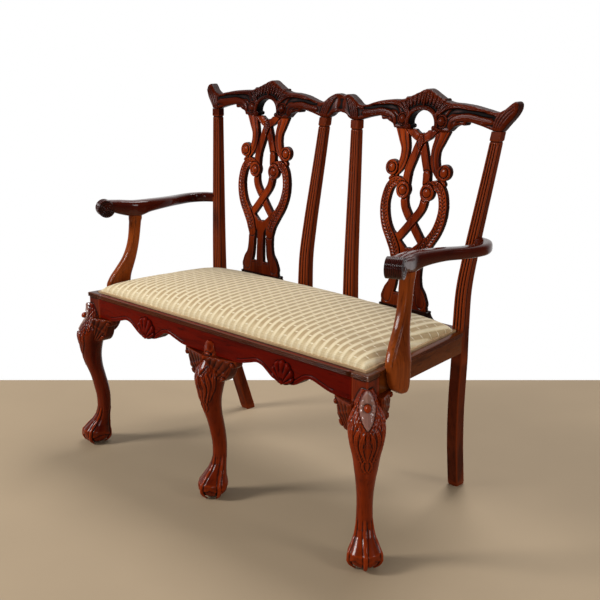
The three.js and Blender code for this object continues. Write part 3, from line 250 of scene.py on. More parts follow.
def paintedWallShade(points, faces, hollow, dark):  # painted shade on the sawn walls of fretwork, darker the more a wall faces sideways
    return np.maximum(hollow, dark * ease(0.62, 0.3, np.abs(normalsOf(points, faces)[:, 1])))


def linked(name, data):
    thing = bpy.data.objects.new(name, data)
    bpy.context.scene.collection.objects.link(thing)
    return thing


def meshOf(name, points, faces, caps=()):  # from the maker's millimetres to metres about the middle
    mesh = bpy.data.meshes.new(name)
    placed = (points - [0, settee["toMiddle"], 0]) / 1000
    mesh.from_pydata(placed.tolist(), [], [list(map(int, f)) for f in [*faces, *caps]])
    return mesh


def remade(thing):  # the object's mesh with its modifiers applied, which then come off
    mesh = bpy.data.meshes.new_from_object(thing.evaluated_get(bpy.context.evaluated_depsgraph_get()))
    thing.modifiers.clear()
    return mesh


def makePiece(name, skin, material, slotName, nodes=(), body="frame", hollow=None, sharp=None, polish=None):
    mesh = meshOf(name, *skin)
    mesh.shade_smooth()
    if sharp:
        mesh.set_sharp_from_angle(angle=math.radians(sharp))
    # the hollow mask carries painted shade in recesses and a painted highlight on crowns; the other mask a high gloss
    # coat and a painted highlight
    for mask, values in (("hollow", hollow), ("polish", polish)):
        if values is not None:
            mesh.attributes.new(mask, "FLOAT", "POINT").data.foreach_set("value", values.astype(np.float32))
    mesh.materials.append(material)
    piece = linked(name, mesh)
    if nodes:
        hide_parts(*nodes)
    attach(piece, body)
    return piece


def makePair(name, skin, material, slotName, nodes=(), **masks):
    points, faces, *caps = skin
    for side, way in sides:
        order = slice(None, None, way)
        turned = (points * [way, 1, 1], faces[:, order], *([cap[order] for cap in group] for group in caps))
        makePiece(f"{name}_{side}", turned, material, slotName, [f"{n}_{side}" for n in nodes], **masks)


def ringSkin(rings):  # a skin over rings of points, and its two ends
    count, around = len(rings), len(rings[0])
    points = np.array(rings, float).reshape(-1, 3)
    ring, spot = np.meshgrid(np.arange(count - 1), np.arange(around), indexing="ij")
    a = (ring * around + spot).ravel()
    b = (ring * around + (spot + 1) % around).ravel()
    faces = np.stack([a, b, b + around, a + around], 1)
    last = (count - 1) * around
    caps = [list(range(around))[::-1], list(range(last, last + around))]
    corner = [points[faces[:, k]] for k in range(4)]
    volume = sum(np.einsum("ij,ij->i", corner[0], np.cross(corner[k], corner[k + 1])).sum() for k in (1, 2))
    if volume < 0:
        return points, faces[:, ::-1], [c[::-1] for c in caps]
    return points, faces, caps


def slabSkin(top, bottom):  # a skin over two grids of points, one under the other
    columns, rows, _ = top.shape
    count = columns * rows
    index = np.arange(count).reshape(columns, rows)
    quads = np.stack([index[:-1, :-1], index[1:, :-1], index[1:, 1:], index[:-1, 1:]], -1).reshape(-1, 4)
    ring = np.r_[index[:-1, 0], index[-1, :-1], index[:0:-1, -1], index[0, :0:-1]]
    other = np.roll(ring, -1)
    edge = np.stack([ring, ring + count, other + count, other], 1)
    return np.vstack([top.reshape(-1, 3), bottom.reshape(-1, 3)]), np.vstack([quads, quads[:, ::-1] + count, edge])


def boardSkin(xs, zs, inside, height, front, back, step, backRound=1.5):  # a board with a carved front
    ys = np.arange(front - height.max() - 3 * step, back + 3 * step, step)
    rear = back - np.where(inside < backRound, rounded(inside, backRound), 0)
    deep = ys[None, :, None]
    field = largest((-inside)[:, None, :], (front - height)[:, None, :] - deep, deep - rear[:, None, :])
    return skinOf(field, [xs[0], ys[0], zs[0]], [xs[1] - xs[0], step, zs[1] - zs[0]])


# Shader nodes, and the grain that all woods share
def putIn(tree, node, key, value):
    if isinstance(value, bpy.types.NodeSocket):
        tree.links.new(value, node.inputs[key])
    else:
        node.inputs[key].default_value = value


def addNode(tree, kind, inputs=(), **values):
    node = tree.nodes.new(kind)
    for key, value in values.items():
        setattr(node, key, value)
    for key, value in inputs:
        putIn(tree, node, key, value)
    return node


def sumOf(tree, operation, a, b=0.0, clamp=False):
    return addNode(tree, "ShaderNodeMath", [(0, a), (1, b)], operation=operation, use_clamp=clamp).outputs[0]


def times(tree, a, b, clamp=False):
    return sumOf(tree, "MULTIPLY", a, b, clamp)


def plus(tree, a, b):
    return sumOf(tree, "ADD", a, b)


def less(tree, a, b):
    return sumOf(tree, "SUBTRACT", a, b)


def opaque(color):
    return (*color, 1)


def blended(tree, share, a, b):
    inputs = ((0, share), (6, a), (7, b))  # the sockets of a mix of colours
    return addNode(tree, "ShaderNodeMix", inputs, data_type="RGBA").outputs[2]


def noiseOf(tree, vector, scale, detail=3.0, rough=0.55):
    inputs = [("Vector", vector), ("Scale", scale), ("Detail", detail), ("Roughness", rough)]
    return addNode(tree, "ShaderNodeTexNoise", inputs).outputs[0]


def remapped(tree, value, low, high, out=(0.0, 1.0)):
    inputs = [("Value", value), ("From Min", low), ("From Max", high), ("To Min", out[0]), ("To Max", out[1])]
    return addNode(tree, "ShaderNodeMapRange", inputs, clamp=True).outputs[0]


def emptyMaterial(name):  # without the default nodes, and with the place on the piece
    material = bpy.data.materials.new(name)
    material.use_nodes = True
    tree = material.node_tree
    tree.nodes.clear()
    return material, tree, addNode(tree, "ShaderNodeTexCoord").outputs["Object"]


def finished(material, inputs):  # with one shader and its inputs
    tree = material.node_tree
    shader = addNode(tree, "ShaderNodeBsdfPrincipled", inputs)
    addNode(tree, "ShaderNodeOutputMaterial", [("Surface", shader.outputs[0])])
    return material


def bumped(tree, height, strength, distance):
    inputs = [("Height", height), ("Strength", strength), ("Distance", distance)]
    return addNode(tree, "ShaderNodeBump", inputs).outputs[0]


def addSockets(tree, way, rows):
    for label, kind, *value in rows:
        socket = tree.interface.new_socket(label, in_out=way, socket_type=f"NodeSocket{kind}")
        if value:
            socket.default_value = value[0]


def makeGrainGroup():  # figure, streaks and flecks, with wear and a painted highlight on crowns, and painted shade in hollows
    group = bpy.data.node_groups.new("polishedGrain", "ShaderNodeTree")
    addSockets(group, "INPUT", [
        ("Vector", "Vector"), ("Hollow", "Float", 0.0), ("Deep", "Color", (0.02, 0.003, 0.002, 1)),
        ("Body", "Color", (0.1, 0.02, 0.01, 1)), ("Bright", "Color", (0.3, 0.08, 0.02, 1)),
        ("Figure", "Float", 0.5), ("Wear", "Float", 0.5), ("Dark", "Float", 1.0),
    ])
    addSockets(group, "OUTPUT", [("Color", "Color"), ("Roughness", "Float"), ("Height", "Float")])
    put, end = group.nodes.new("NodeGroupInput").outputs, group.nodes.new("NodeGroupOutput")
    cloud = noiseOf(group, put["Vector"], 5.0, 3.0)
    streak = noiseOf(group, put["Vector"], 42.0, 4.0, 0.6)
    fleck = noiseOf(group, put["Vector"], 190.0, 2.0, 0.5)
    figure = plus(group, times(group, cloud, 0.65), times(group, streak, 0.35))
    bright = times(group, remapped(group, figure, 0.38, 0.64), put["Figure"])
    pores = times(group, remapped(group, streak, 0.5, 0.3), 0.35)
    specks = times(group, remapped(group, fleck, 0.42, 0.3), 0.4)
    # wear together with a painted highlight on crowns and reed crests
    crownWearAndHighlight = times(group, remapped(group, put["Hollow"], -0.12, -1.0), put["Wear"])
    # painted shade in hollows, grooves and sawn walls
    sunk = times(group, remapped(group, put["Hollow"], 0.06, 0.85), put["Dark"], clamp=True)
    color = put["Body"]
    for share, tone in ((bright, "Bright"), (pores, "Deep"), (specks, "Deep"), (crownWearAndHighlight, "Bright"), (sunk, "Deep")):
        color = blended(group, share, color, put[tone])
    sheen = remapped(group, figure, 0.3, 0.7, (0.17, 0.27))
    putIn(group, end, "Color", color)
    putIn(group, end, "Roughness", plus(group, sheen, times(group, sunk, 0.3)))
    putIn(group, end, "Height", plus(group, streak, times(group, fleck, 0.5)))
    return group


grainGroup = makeGrainGroup()
alongX, alongY, alongZ = (0.12, 1, 1), (1, 0.12, 1), (1, 1, 0.12)  # scale of the grain, long one way
plainWood = {
    "stretch": alongZ, "deep": (0.003, 0.0008, 0.0006), "figure": 0.6, "wear": 0.5, "dark": 1.0,
    "coat": 0.04, "shine": 0.06, "bump": 0.06, "bands": (), "highlightShare": 0.75,
}


def makeWood(name, **changes):
    values = {**plainWood, **changes}
    material, tree, place = emptyMaterial(name)
    mapped = addNode(tree, "ShaderNodeMapping", [("Vector", place), ("Scale", values["stretch"])]).outputs[0]
    # the hollow attribute drives painted shade in recesses and a painted highlight on crowns
    hollow = addNode(tree, "ShaderNodeAttribute", attribute_name="hollow").outputs["Fac"]
    grain = addNode(tree, "ShaderNodeGroup", node_tree=grainGroup)
    for key, value in (("Vector", mapped), ("Hollow", hollow), ("Deep", opaque(values["deep"]))):
        putIn(tree, grain, key, value)
    for key in ("Figure", "Wear", "Dark"):
        putIn(tree, grain, key, values[key.lower()])
    for key in ("Body", "Bright"):
        tone = opaque(values[key.lower()])
        for band in values["bands"]:  # other tones above given heights
            rise = addNode(tree, "ShaderNodeSeparateXYZ", [("Vector", place)]).outputs[2]
            tone = blended(tree, remapped(tree, rise, *band["from"]), tone, opaque(band[key.lower()]))
        putIn(tree, grain, key, tone)
    color, coat = grain.outputs["Color"], values["coat"]
    if "polished" in values:  # places with a high gloss coat and a painted pale highlight
        mask = addNode(tree, "ShaderNodeAttribute", attribute_name="polish").outputs["Fac"]
        color = blended(tree, times(tree, mask, values["highlightShare"]), color, opaque(values["polished"]))
        coat = remapped(tree, mask, 0, 1, (coat, 1.0))
    return finished(material, [
        ("Base Color", color), ("Roughness", grain.outputs["Roughness"]),
        ("Normal", bumped(tree, grain.outputs["Height"], values["bump"], 0.0008)),
        ("Coat Weight", coat), ("Coat Roughness", 0.07), ("Specular IOR Level", values["shine"]),
    ])


splatWood = makeWood(
    "mahoganySplat", body=(0.035, 0.002, 0.0004), bright=(0.18, 0.022, 0.002), figure=0.9, wear=0.6,
    bands=[{"from": (0.56, 0.7), "body": (0.08, 0.0045, 0.0005), "bright": (0.38, 0.05, 0.004)}])
postWood = makeWood(
    "mahoganyPost", body=(0.028, 0.0018, 0.0007), bright=(0.21, 0.032, 0.006), figure=0.7, wear=1.0, shine=0.05)
crestWood = makeWood(
    "mahoganyCrest", stretch=alongX, body=(0.027, 0.002, 0.0007), bright=(0.15, 0.018, 0.0025),
    wear=0.9, coat=0.0, shine=0.045)
railWood = makeWood(
    "mahoganyRail", stretch=alongX, body=(0.058, 0.0008, 0.0003), bright=(0.14, 0.005, 0.0006),
    wear=0.6, coat=0.0, shine=0.035)
noseWood = makeWood(
    "mahoganyNosing", stretch=alongX, body=(0.03, 0.004, 0.0015), bright=(0.12, 0.03, 0.008), wear=1.0)
sideWood = makeWood(
    "mahoganySide", stretch=alongY, body=(0.05, 0.007, 0.0012), bright=(0.19, 0.045, 0.006), figure=0.8, wear=0.6)
# the knee leaf's pale tone is a painted highlight
legWood = makeWood(
    "mahoganyLeg", body=(0.05, 0.0022, 0.0004), bright=(0.26, 0.028, 0.002), figure=0.75, wear=0.8,
    coat=0.16, polished=(0.27, 0.15, 0.12), bands=[
        {"from": (0.384, 0.396), "body": (0.06, 0.0015, 0.0004), "bright": (0.2, 0.02, 0.002)},
        {"from": (0.4318, 0.4328), "body": (0.03, 0.004, 0.0015), "bright": (0.1, 0.025, 0.006)},
    ])
bracketWood = makeWood(
    "mahoganyBracket", body=(0.03, 0.0025, 0.0008), bright=(0.16, 0.02, 0.003), wear=0.8, coat=0.12)
armWood = makeWood("mahoganyArm", stretch=alongY, body=(0.022, 0.0018, 0.001), bright=(0.09, 0.009, 0.002), coat=0.35)
supportWood = makeWood(
    "mahoganySupport", body=(0.05, 0.0045, 0.0008), bright=(0.28, 0.055, 0.007), figure=0.9, wear=0.4, coat=0.1)
shoeWood = makeWood(
    "mahoganyShoe", stretch=alongX, deep=(0.002, 0.0008, 0.0006), body=(0.01, 0.0025, 0.0015),
    bright=(0.025, 0.006, 0.003), figure=0.5)
beechWood = makeWood(
    "beechBare", stretch=alongX, deep=(0.22, 0.12, 0.055), body=(0.42, 0.27, 0.14), bright=(0.55, 0.38, 0.22),
    figure=0.7, coat=0.0, shine=0.2, bump=0.2)
print("woods made")


# Rear posts and inner stiles: reeded fronts under a plain capital, and the plain raking legs below
upright = {
    "width": 32, "depth": 30, "topWidth": 25, "topDepth": 22, "footWidth": 31, "footDepth": 33,
    "footRake": 69, "footInset": 44, "kneeDrop": 8, "footChamfer": 1.2,
    "stileWidth": 36, "stileDepth": 27, "stileTopWidth": 25, "corner": 3.2,
    "reeds": 3, "perReed": 10, "reedDepth": 2.6, "sideLine": 1.4, "sideLineAt": 0.42,
    "reedTop": 900, "reedFoot": 452, "reedFade": 7, "capital": 1.2, "capitalLine": 1.3, "sharp": 45,
    "coarseStep": 9.0, "fineStep": 1.5, "fineFrom": 8,
}
postX = rearHalf - upright["width"] / 2
postCentreY = seatDepth + upright["depth"] / 2
legBend = throughPoints(
    [[0, 1, 1], [0.16, 0.78, 0.84], [0.35, 0.52, 0.64], [0.54, 0.31, 0.44], [0.72, 0.14, 0.24], [0.88, 0.04, 0.08],
     [1, 0, 0]], 60)


def stileX(share):
    return mixed(settee["stileFootSpread"], settee["stileTopSpread"], leanShare(share)) / 2


def postAt(share):
    return mixed(postX, settee["topSpread"] / 2, leanShare(share))


def uprightRing(x, y, z, width, depth, reeding):  # a section, and its painted shade: dark in the reeds' grooves, a painted highlight on their crests
    w, d, r = width / 2, depth / 2, upright["corner"]
    flat, count = w - r * 0.8, upright["reeds"] * upright["perReed"]
    front, shade = [], []
    for t in np.arange(count + 1) / count:
        swell = abs(math.cos(math.pi * t * upright["reeds"])) ** 0.85
        front.append((-flat + 2 * flat * t, -d + upright["reedDepth"] * reeding * (1 - swell)))
        shade.append(reeding * (1.5 - 2.6 * swell))
    corner = [(w - r + r * math.sin(a), -d + r - r * math.cos(a)) for a in np.linspace(0.2, math.pi / 2, 4)]
    back = [(w - r + r * math.cos(a), d - r + r * math.sin(a)) for a in np.linspace(0, math.pi / 2, 4)]
    side = [(t, float(hump(t + d * upright["sideLineAt"], 1.3))) for t in np.linspace(-d + r * 1.3, d - r * 1.6, 19)]
    half = corner + [(w - upright["sideLine"] * reeding * line, t) for t, line in side] + back
    # painted highlight on the corners, painted shade in the line down each side
    sideShade = [-0.4 * reeding] * 4 + [reeding * (1.5 * line - 0.3) for _, line in side] + [0.1] * 4
    ring = front + half + [(-a, b) for a, b in half[::-1]]
    return [(x + a, y + b, z) for a, b in ring], shade + sideShade + sideShade[::-1]


def uprightHeights(low):
    fineFrom = upright["reedTop"] - upright["fineFrom"]
    rows = [*np.arange(low, fineFrom, upright["coarseStep"]), *np.arange(fineFrom, stileTop - 0.2, upright["fineStep"])]
    return rows + [stileTop - jointGap]


def risingRing(x, z, widths, depths):  # a section above the seat rail
    share = max(z - railTop, 0) / settee["stileLength"]
    top = upright["reedTop"]
    capital = upright["capital"] * ease(top + 2, top + 5, z) - upright["capitalLine"] * hump(z - (top + 1), 1.4)
    reeding = ease(railTop - 2, upright["reedFoot"] + 6, z) * (1 - ease(top - upright["reedFade"], top, z))
    width, depth = (mixed(*sizes, share) + 2 * capital for sizes in (widths, depths))
    return uprightRing(x(share), postCentreY, z, width, depth, reeding)


def rakedRing(z):  # a section of the rear leg
    share = z / straightBottom
    rake, inset = readTable(share, legBend, (1, 2))
    width = mixed(upright["footWidth"], upright["width"], share)
    depth = mixed(upright["footDepth"], upright["depth"], share)
    chamfer = upright["footChamfer"] * (1 - ease(0, 4, z))
    x, y = postX - upright["footInset"] * inset, postCentreY + upright["footRake"] * rake
    return uprightRing(x, y, z, width - chamfer * 2, depth - chamfer * 2, 0)


def makeUpright(name, node, rings):
    skin = ringSkin([ring for ring, _ in rings])
    # painted shade in the grooves and hollows, painted highlight on crests
    hollow = np.array([shade for _, shade in rings]).ravel() + np.clip(hollowsOf(*skin[:2], 2) * 2, -0.6, 0.8)
    makePair(name, (leaned(skin[0]), *skin[1:]), postWood, "mahogany", [node], hollow=hollow, sharp=upright["sharp"])


straightBottom = railBottom - upright["kneeDrop"]
postWidths, stileWidths = (upright["width"], upright["topWidth"]), (upright["stileWidth"], upright["stileTopWidth"])
postDepths, stileDepths = ((upright[side], upright["topDepth"]) for side in ("depth", "stileDepth"))
makeUpright("rear_post_turned", "rear_post", [
    *(rakedRing(z) for z in np.linspace(0, straightBottom, 44)),
    *(risingRing(postAt, z, postWidths, postDepths)
      for z in [railBottom + 20, railTop - 4, *uprightHeights(upright["reedFoot"])]),
])
makeUpright("inner_stile_reeded", "inner_stile", [
    risingRing(stileX, z, stileWidths, stileDepths) for z in [railTop + jointGap, *uprightHeights(railTop + 6)]
])
print("posts and stiles made")


# Pierced splats: straps that pass over and under each other, with volutes and leaf-carved ovals.
# Their rows are shares of the splat: across from its axis, up from its foot, and the strap's width.
splat = {
    "step": 1.4, "setback": 11, "thickness": 12, "halfWidth": 105, "footRise": 10, "joint": 10,
    "edgeRound": 2.2, "beadAt": 0.84, "beadHeight": 0.9, "lineDepth": 0.9, "dip": 3.2, "dipReach": 4.5, "over": 1.4,
    "bossRadius": 11.5, "bossRise": 4.2, "scalePitch": 9.0, "scaleDepth": 2.3, "scaleSlant": 1.15,
    "wallDark": 0.72, "wallLeast": 0.75, "hollowing": 1.5,
}
splatFoot, splatTop = railTop + splat["footRise"], stileTop - splat["joint"]
splatHeight = splatTop - splatFoot
splatTopX = (settee["topSpread"] / 2 + stileX(1)) / 2
splatFootX = (postX + stileX(0)) / 2
outerStrap = [[0.62, 1.02, 0.42], [0.53, 0.95, 0.31], [0.455, 0.9, 0.255], [0.455, 0.85, 0.235], [0.52, 0.8, 0.22],
              [0.66, 0.755, 0.16], [0.8, 0.722, 0.11]]
laceUpper = [[0.46, 1.03, 0.21], [0.23, 0.975, 0.21], [0, 0.94, 0.21], [-0.18, 0.84, 0.21], [-0.285, 0.765, 0.21],
             [-0.305, 0.676, 0.21]]
laceLower = [[-0.285, 0.765, 0.21], [-0.305, 0.676, 0.21], [-0.265, 0.587, 0.21], [0, 0.502, 0.21],
             [0.26, 0.43, 0.21], [0.42, 0.39, 0.2]]
ovalStrap = [[0.41, 0.705, 0.21], [0.58, 0.715, 0.22], [0.765, 0.685, 0.235], [0.87, 0.605, 0.245],
             [0.85, 0.535, 0.26], [0.745, 0.465, 0.27], [0.56, 0.4, 0.29], [0.4, 0.34, 0.3], [0.34, 0.29, 0.28]]
legStrap = [[0.36, 0.33, 0.28], [0.34, 0.28, 0.25], [0.35, 0.21, 0.23], [0.39, 0.15, 0.26], [0.47, 0.11, 0.33],
            [0.52, 0.07, 0.38]]
stemStrap = [[0, 0.325, 0.34], [0, 0.29, 0.26], [0, 0.2, 0.25], [0, 0.1, 0.27]]
joinStrap = [[0.52, 0.43, 0.1], [0.34, 0.388, 0.14], [0.16, 0.345, 0.2], [0, 0.305, 0.26]]
footHalf = [[0.7, 0], [0.7, 0.045], [0.64, 0.095], [0.3, 0.105]]
tipLeaf = [[0.975, 3.5], [0.945, 8.5], [0.91, 5], [0.89, 1.0]]  # up, and half width in millimetres
volutes = [(0.78, 0.785, 0.19, 0.62), (0.36, 0.67, 0.205, 0.2)]  # across, up, radius and the spiral's start


def inSplat(rows, side=1):
    half = splat["halfWidth"]
    return [[half * a * side, splatFoot + splatHeight * b, half * width / 2] for a, b, width in rows]


def mouldedFace(s):  # edge beads with a fine line inside each
    across = np.abs(s["across"])
    bead = splat["beadHeight"] * hump(across - splat["beadAt"], 0.13)
    return bead - splat["lineDepth"] * hump(across - splat["beadAt"] + 0.22, 0.07)


def scaleFace(s):  # overlapping leaf scales between two plain edges
    across = np.abs(s["across"])
    scales = ((s["run"] / splat["scalePitch"] + across * splat["scaleSlant"]) % 1) ** 0.8
    carved = splat["scaleDepth"] * (scales - 0.75 - 0.7 * hump(across, 0.09))
    band = 1 - ease(0.56, 0.64, across)
    return mouldedFace(s) * (1 - band) + carved * band


def scrollFace(x, z, centre, radius, hand, start):  # a disc with a spiral rim round a domed boss
    dx, dz = x - centre[0], z - centre[1]
    r, boss = np.hypot(dx, dz), splat["bossRadius"]
    turn = (np.arctan2(dz, dx * hand) / (2 * math.pi) - start) % 1
    rim = boss + 1.2 + (radius - boss - 3.2) * (1 - turn)
    face = 1.5 - 3.0 * hump(r - boss - 1.0, 1.3) - 1.6 * hump(r - rim - 1.0, 1.0)
    return radius - r, np.where(r < boss, splat["bossRise"] * domed(r, boss), face)


def onSplatAxis(points, way):  # a splat leans outwards as it rises
    axis = mixed(splatFootX, splatTopX, (points[:, 2] - splatFoot) / splatHeight)
    return points + np.stack([axis * way, 0 * axis, 0 * axis], 1)


def splatBoard():
    xs = np.arange(-splat["halfWidth"] * 1.04, splat["halfWidth"] * 1.04, splat["step"])
    zs = np.arange(splatFoot - 6, splatTop + 6, splat["step"])
    x, z = np.meshgrid(xs, zs, indexing="ij")
    inside, height = np.full(x.shape, -60.0), np.zeros(x.shape)

    def lay(within, face, lift=0.0, dip=splat["dip"]):  # what lies under dips beside what passes over it
        nonlocal inside, height
        sunk = height - dip * np.clip(1 + within / splat["dipReach"], 0, 1) ** 1.5
        height = np.where(within > 0, face + lift, np.where(inside > 0, sunk, height))
        inside = np.maximum(inside, within)

    foot = np.array([[splat["halfWidth"] * a, splatFoot + splatHeight * b] for a, b in footHalf])
    within = insideOutline(x, z, np.vstack([foot, foot[::-1] * [-1, 1]]))
    lay(within, 0 * x - splat["lineDepth"] * hump(within - 5, 1.2))
    for hand in (1, -1):
        s = strap(x, z, inSplat(outerStrap, hand))
        ridge = 1.3 * hump(s["across"] - 0.15 * hand, 0.22) - 1.0 * hump(s["across"] + 0.32 * hand, 0.09)
        lay(s["inside"], mouldedFace(s) + ridge)
    for hand, part in ((-1, laceUpper), (1, laceLower), (1, laceUpper), (-1, laceLower)):  # under, under, over, over
        s = strap(x, z, inSplat(part, hand))
        lay(s["inside"], mouldedFace(s), splat["over"] if (hand > 0) == (part is laceUpper) else 0)
    plainer = [(stemStrap, 1, 0.6), (legStrap, 1, 0.8), (joinStrap, 1, 0), (legStrap, -1, 0.8), (joinStrap, -1, 0)]
    for rows, hand, deep in plainer:
        s = strap(x, z, inSplat(rows, hand))
        lay(s["inside"], mouldedFace(s) * deep, dip=0)
    for hand in (1, -1):
        s = strap(x, z, inSplat(ovalStrap, hand))
        fade = ease(0, 14, s["length"] - s["run"])
        lay(s["inside"], scaleFace(s) * fade, splat["over"] * fade)
    for hand in (1, -1):
        for a, b, radius, start in volutes:
            centre = (splat["halfWidth"] * a * hand, splatFoot + splatHeight * b)
            lay(*scrollFace(x, z, centre, splat["halfWidth"] * radius, hand if a > 0.5 else -hand, start), 1.2)
    tip = strap(x, z, [[0, splatFoot + splatHeight * b, half] for b, half in tipLeaf])
    veins = 0.9 * np.sin((tip["run"] + 5 * np.abs(tip["across"])) * 1.25) + 1.2 * hump(tip["across"], 0.2)
    lay(tip["inside"], veins + 1.0, 1.4, 1.5)
    inside = np.minimum(inside, np.minimum(z - splatFoot, splatTop - z))
    edge = inside + 12 * ease(splatTop - 4, splatTop - 1, z) + 12 * (1 - ease(splatFoot + 1, splatFoot + 4, z))
    height = height - rounded(edge, splat["edgeRound"])
    front = seatDepth + splat["setback"]
    points, faces = boardSkin(xs, zs, inside, height, front, front + splat["thickness"], splat["step"])
    # painted shade in the hollows and on the fretwork's sawn walls, never less than wallLeast on a wall
    hollow = paintedWallShade(points, faces, hollowsOf(points, faces) * splat["hollowing"], splat["wallDark"])
    wall = np.abs(normalsOf(points, faces)[:, 1]) < 0.5
    return points, faces, np.where(wall, np.maximum(hollow, splat["wallLeast"]), hollow)


points, faces, hollow = splatBoard()
for side, way in sides:
    skin = (leaned(onSplatAxis(points, way)), faces)
    makePiece(f"splat_carved_{side}", skin, splatWood, "mahogany", [f"splat_{side}"], hollow=hollow)
print("splats made")


# Crest rail: one carved board over both backs, worked out for its right half and mirrored
crest = {
    "step": 1.56, "setback": 3, "thickness": 28, "archShare": 0.685, "earReach": 45, "splatShoulder": 84,
    "eyeHalfWidth": 37, "eyeRise": 47, "eyeRound": 3.5, "edgeRound": 7, "backRound": 5, "lipWidth": 11, "lipRise": 4.5,
    "bossPlace": (60, 13), "bossRadius": 11, "bossRise": 5, "bossDisc": 17.5,
    "curlPlace": (101, 7), "curlRadius": 9, "curlRise": 4.2, "innerReach": 0.93, "innerFrom": 140,
    "knobPlace": (57, 62), "knobRadius": 4.6, "knobReach": 6.5, "knobRise": 5,
    "topKnobRise": 83, "topKnobReach": 6, "lipScroll": (37.5, -4), "lipScrollRadius": 8, "lipScrollRise": 6.2,
    "reedRise": 2.2, "reedCount": 4, "hollowing": 1.8, "wallDark": 0.6, "eyeWallDark": 0.9,
}
archTop = [[-0.95, 0.6], [-0.72, 0.655], [-0.52, 0.67], [-0.38, 0.73], [-0.2, 0.87], [0, 1], [0.2, 0.87],
           [0.38, 0.73], [0.52, 0.67], [0.72, 0.655], [0.95, 0.62]]
middleTop = [[0, 0.68], [0.42, 0.72], [0.82, 0.6], [1.25, 0.44]]
earTop = [[-0.8, 0.54], [-0.12, 0.49], [0.3, 0.58], [0.66, 0.74], [0.84, 0.79], [1.03, 0.74], [1.08, 0.6],
          [0.94, 0.42], [0.55, 0.17]]
shoulder = [[1.12, 0.12], [0.88, 0.17], [0.86, 0.09], [0.74, 0.09], [0.64, 0.02]]
middleFoot = [[1, 0], [0.75, 0.05], [0.5, 0.15], [0, 0.2]]
eyeSide = [[1, 0], [1.06, 0.4], [0.85, 0.75], [0.45, 0.95]]
earX, stileTopX = settee["topSpread"] / 2, stileX(1)
archReach = (earX - splatTopX) * crest["archShare"]
# Strokes beside an arch: out from the splat's axis, up from the stiles' top and half as wide, in millimetres
outerHollow = [[205, 33, 3], [170, 36, 6], [135, 39, 7.5], [104, 40, 7], [84, 35, 5], [76, 27, 3]]
lowerBand = [[205, 20, 6], [168, 23, 9], [135, 27, 9], [108, 24, 8.5], [90, 16, 7], [84, 4, 5]]
upperBand = [[190, 47, 4.5], [165, 48, 5.5], [135, 50, 6.5], [105, 53, 7], [80, 51, 7], [58, 42, 7.5], [45, 28, 7],
             [41, 12, 6.5], [47, -2, 5.5], [60, -7, 4]]
fanLeaves = [
    [[50, 36, 2], [58, 48, 5.5], [68, 56, 5], [76, 60, 2]],
    [[44, 42, 2], [50, 54, 6], [54, 62, 5.5], [58, 68, 2.5]],
    [[37, 44, 2], [41, 58, 6], [43, 68, 5.5], [44, 76, 2.5]],
    [[28, 48, 2], [30, 62, 6], [30, 73, 5.5], [28, 82, 2.5]],
    [[17, 52, 2], [18, 66, 5.5], [17, 77, 5], [13, 87, 2.5]],
    [[7, 54, 2], [8, 68, 4.5], [7, 80, 4], [4, 90, 2]],
]
fanSpine = [[0, 46, 2.5], [0, 60, 3.6], [0, 76, 3.4], [0, 89, 2.5]]
earFan = [[0, -6, 12], [1, 8, 12.5], [8, 26, 15], [20, 43, 15.5], [33, 54, 14], [46, 64, 12]]
middleFan = [[0, -6, 12], [-1, 8, 12.5], [-7, 26, 13.5], [-17, 44, 12.5], [-30, 58, 9], [-44, 66, 5]]


def crestOutlines():  # the whole board's, from its right half, and the eye's
    def scaled(rows, middle, reach):
        return [[middle + reach * a, stileTop + settee["crestRise"] * b] for a, b in rows]

    postHalf, stileHalf = upright["topWidth"] / 2, upright["stileTopWidth"] / 2
    postIn, stileOut, stileIn = earX - postHalf, stileTopX + stileHalf, stileTopX - stileHalf
    top = scaled(middleTop, 0, stileTopX) + scaled(archTop, splatTopX, archReach)
    top += scaled(earTop, earX, crest["earReach"])
    outer = [[postIn - 1, stileTop + 1]] + scaled(shoulder, splatTopX, archReach)
    inner = scaled(shoulder[::-1], splatTopX, -archReach) + [[stileOut + 1, stileTop + 1]]
    half = np.vstack([
        throughPoints(top, len(top) * 5), [[earX + postHalf, stileTop], [postIn, stileTop]], throughPoints(outer, 30),
        [[splatTopX + crest["splatShoulder"], splatTop], [splatTopX - crest["splatShoulder"], splatTop]],
        throughPoints(inner, 30), [[stileOut, stileTop], [stileIn, stileTop]],
        throughPoints(scaled(middleFoot, 0, stileIn), 12),
    ])
    eye = [[crest["eyeHalfWidth"] * a, crest["eyeRise"] * b] for a, b in eyeSide]
    eye = eye + [[0, crest["eyeRise"]]] + [[-a, b] for a, b in eye[::-1]]
    eye = throughPoints(eye, 40) + [splatTopX, splatTop]
    return np.vstack([half, (half * [-1, 1])[::-1]]), np.vstack([[eye[0] - [0, 30]], eye, [eye[-1] - [0, 30]]])


def grooved(s, lines):  # a raised band with fine lines along it
    return domed(s["across"]) - sum(0.45 * hump(s["across"] - at, 0.12) for at in lines)


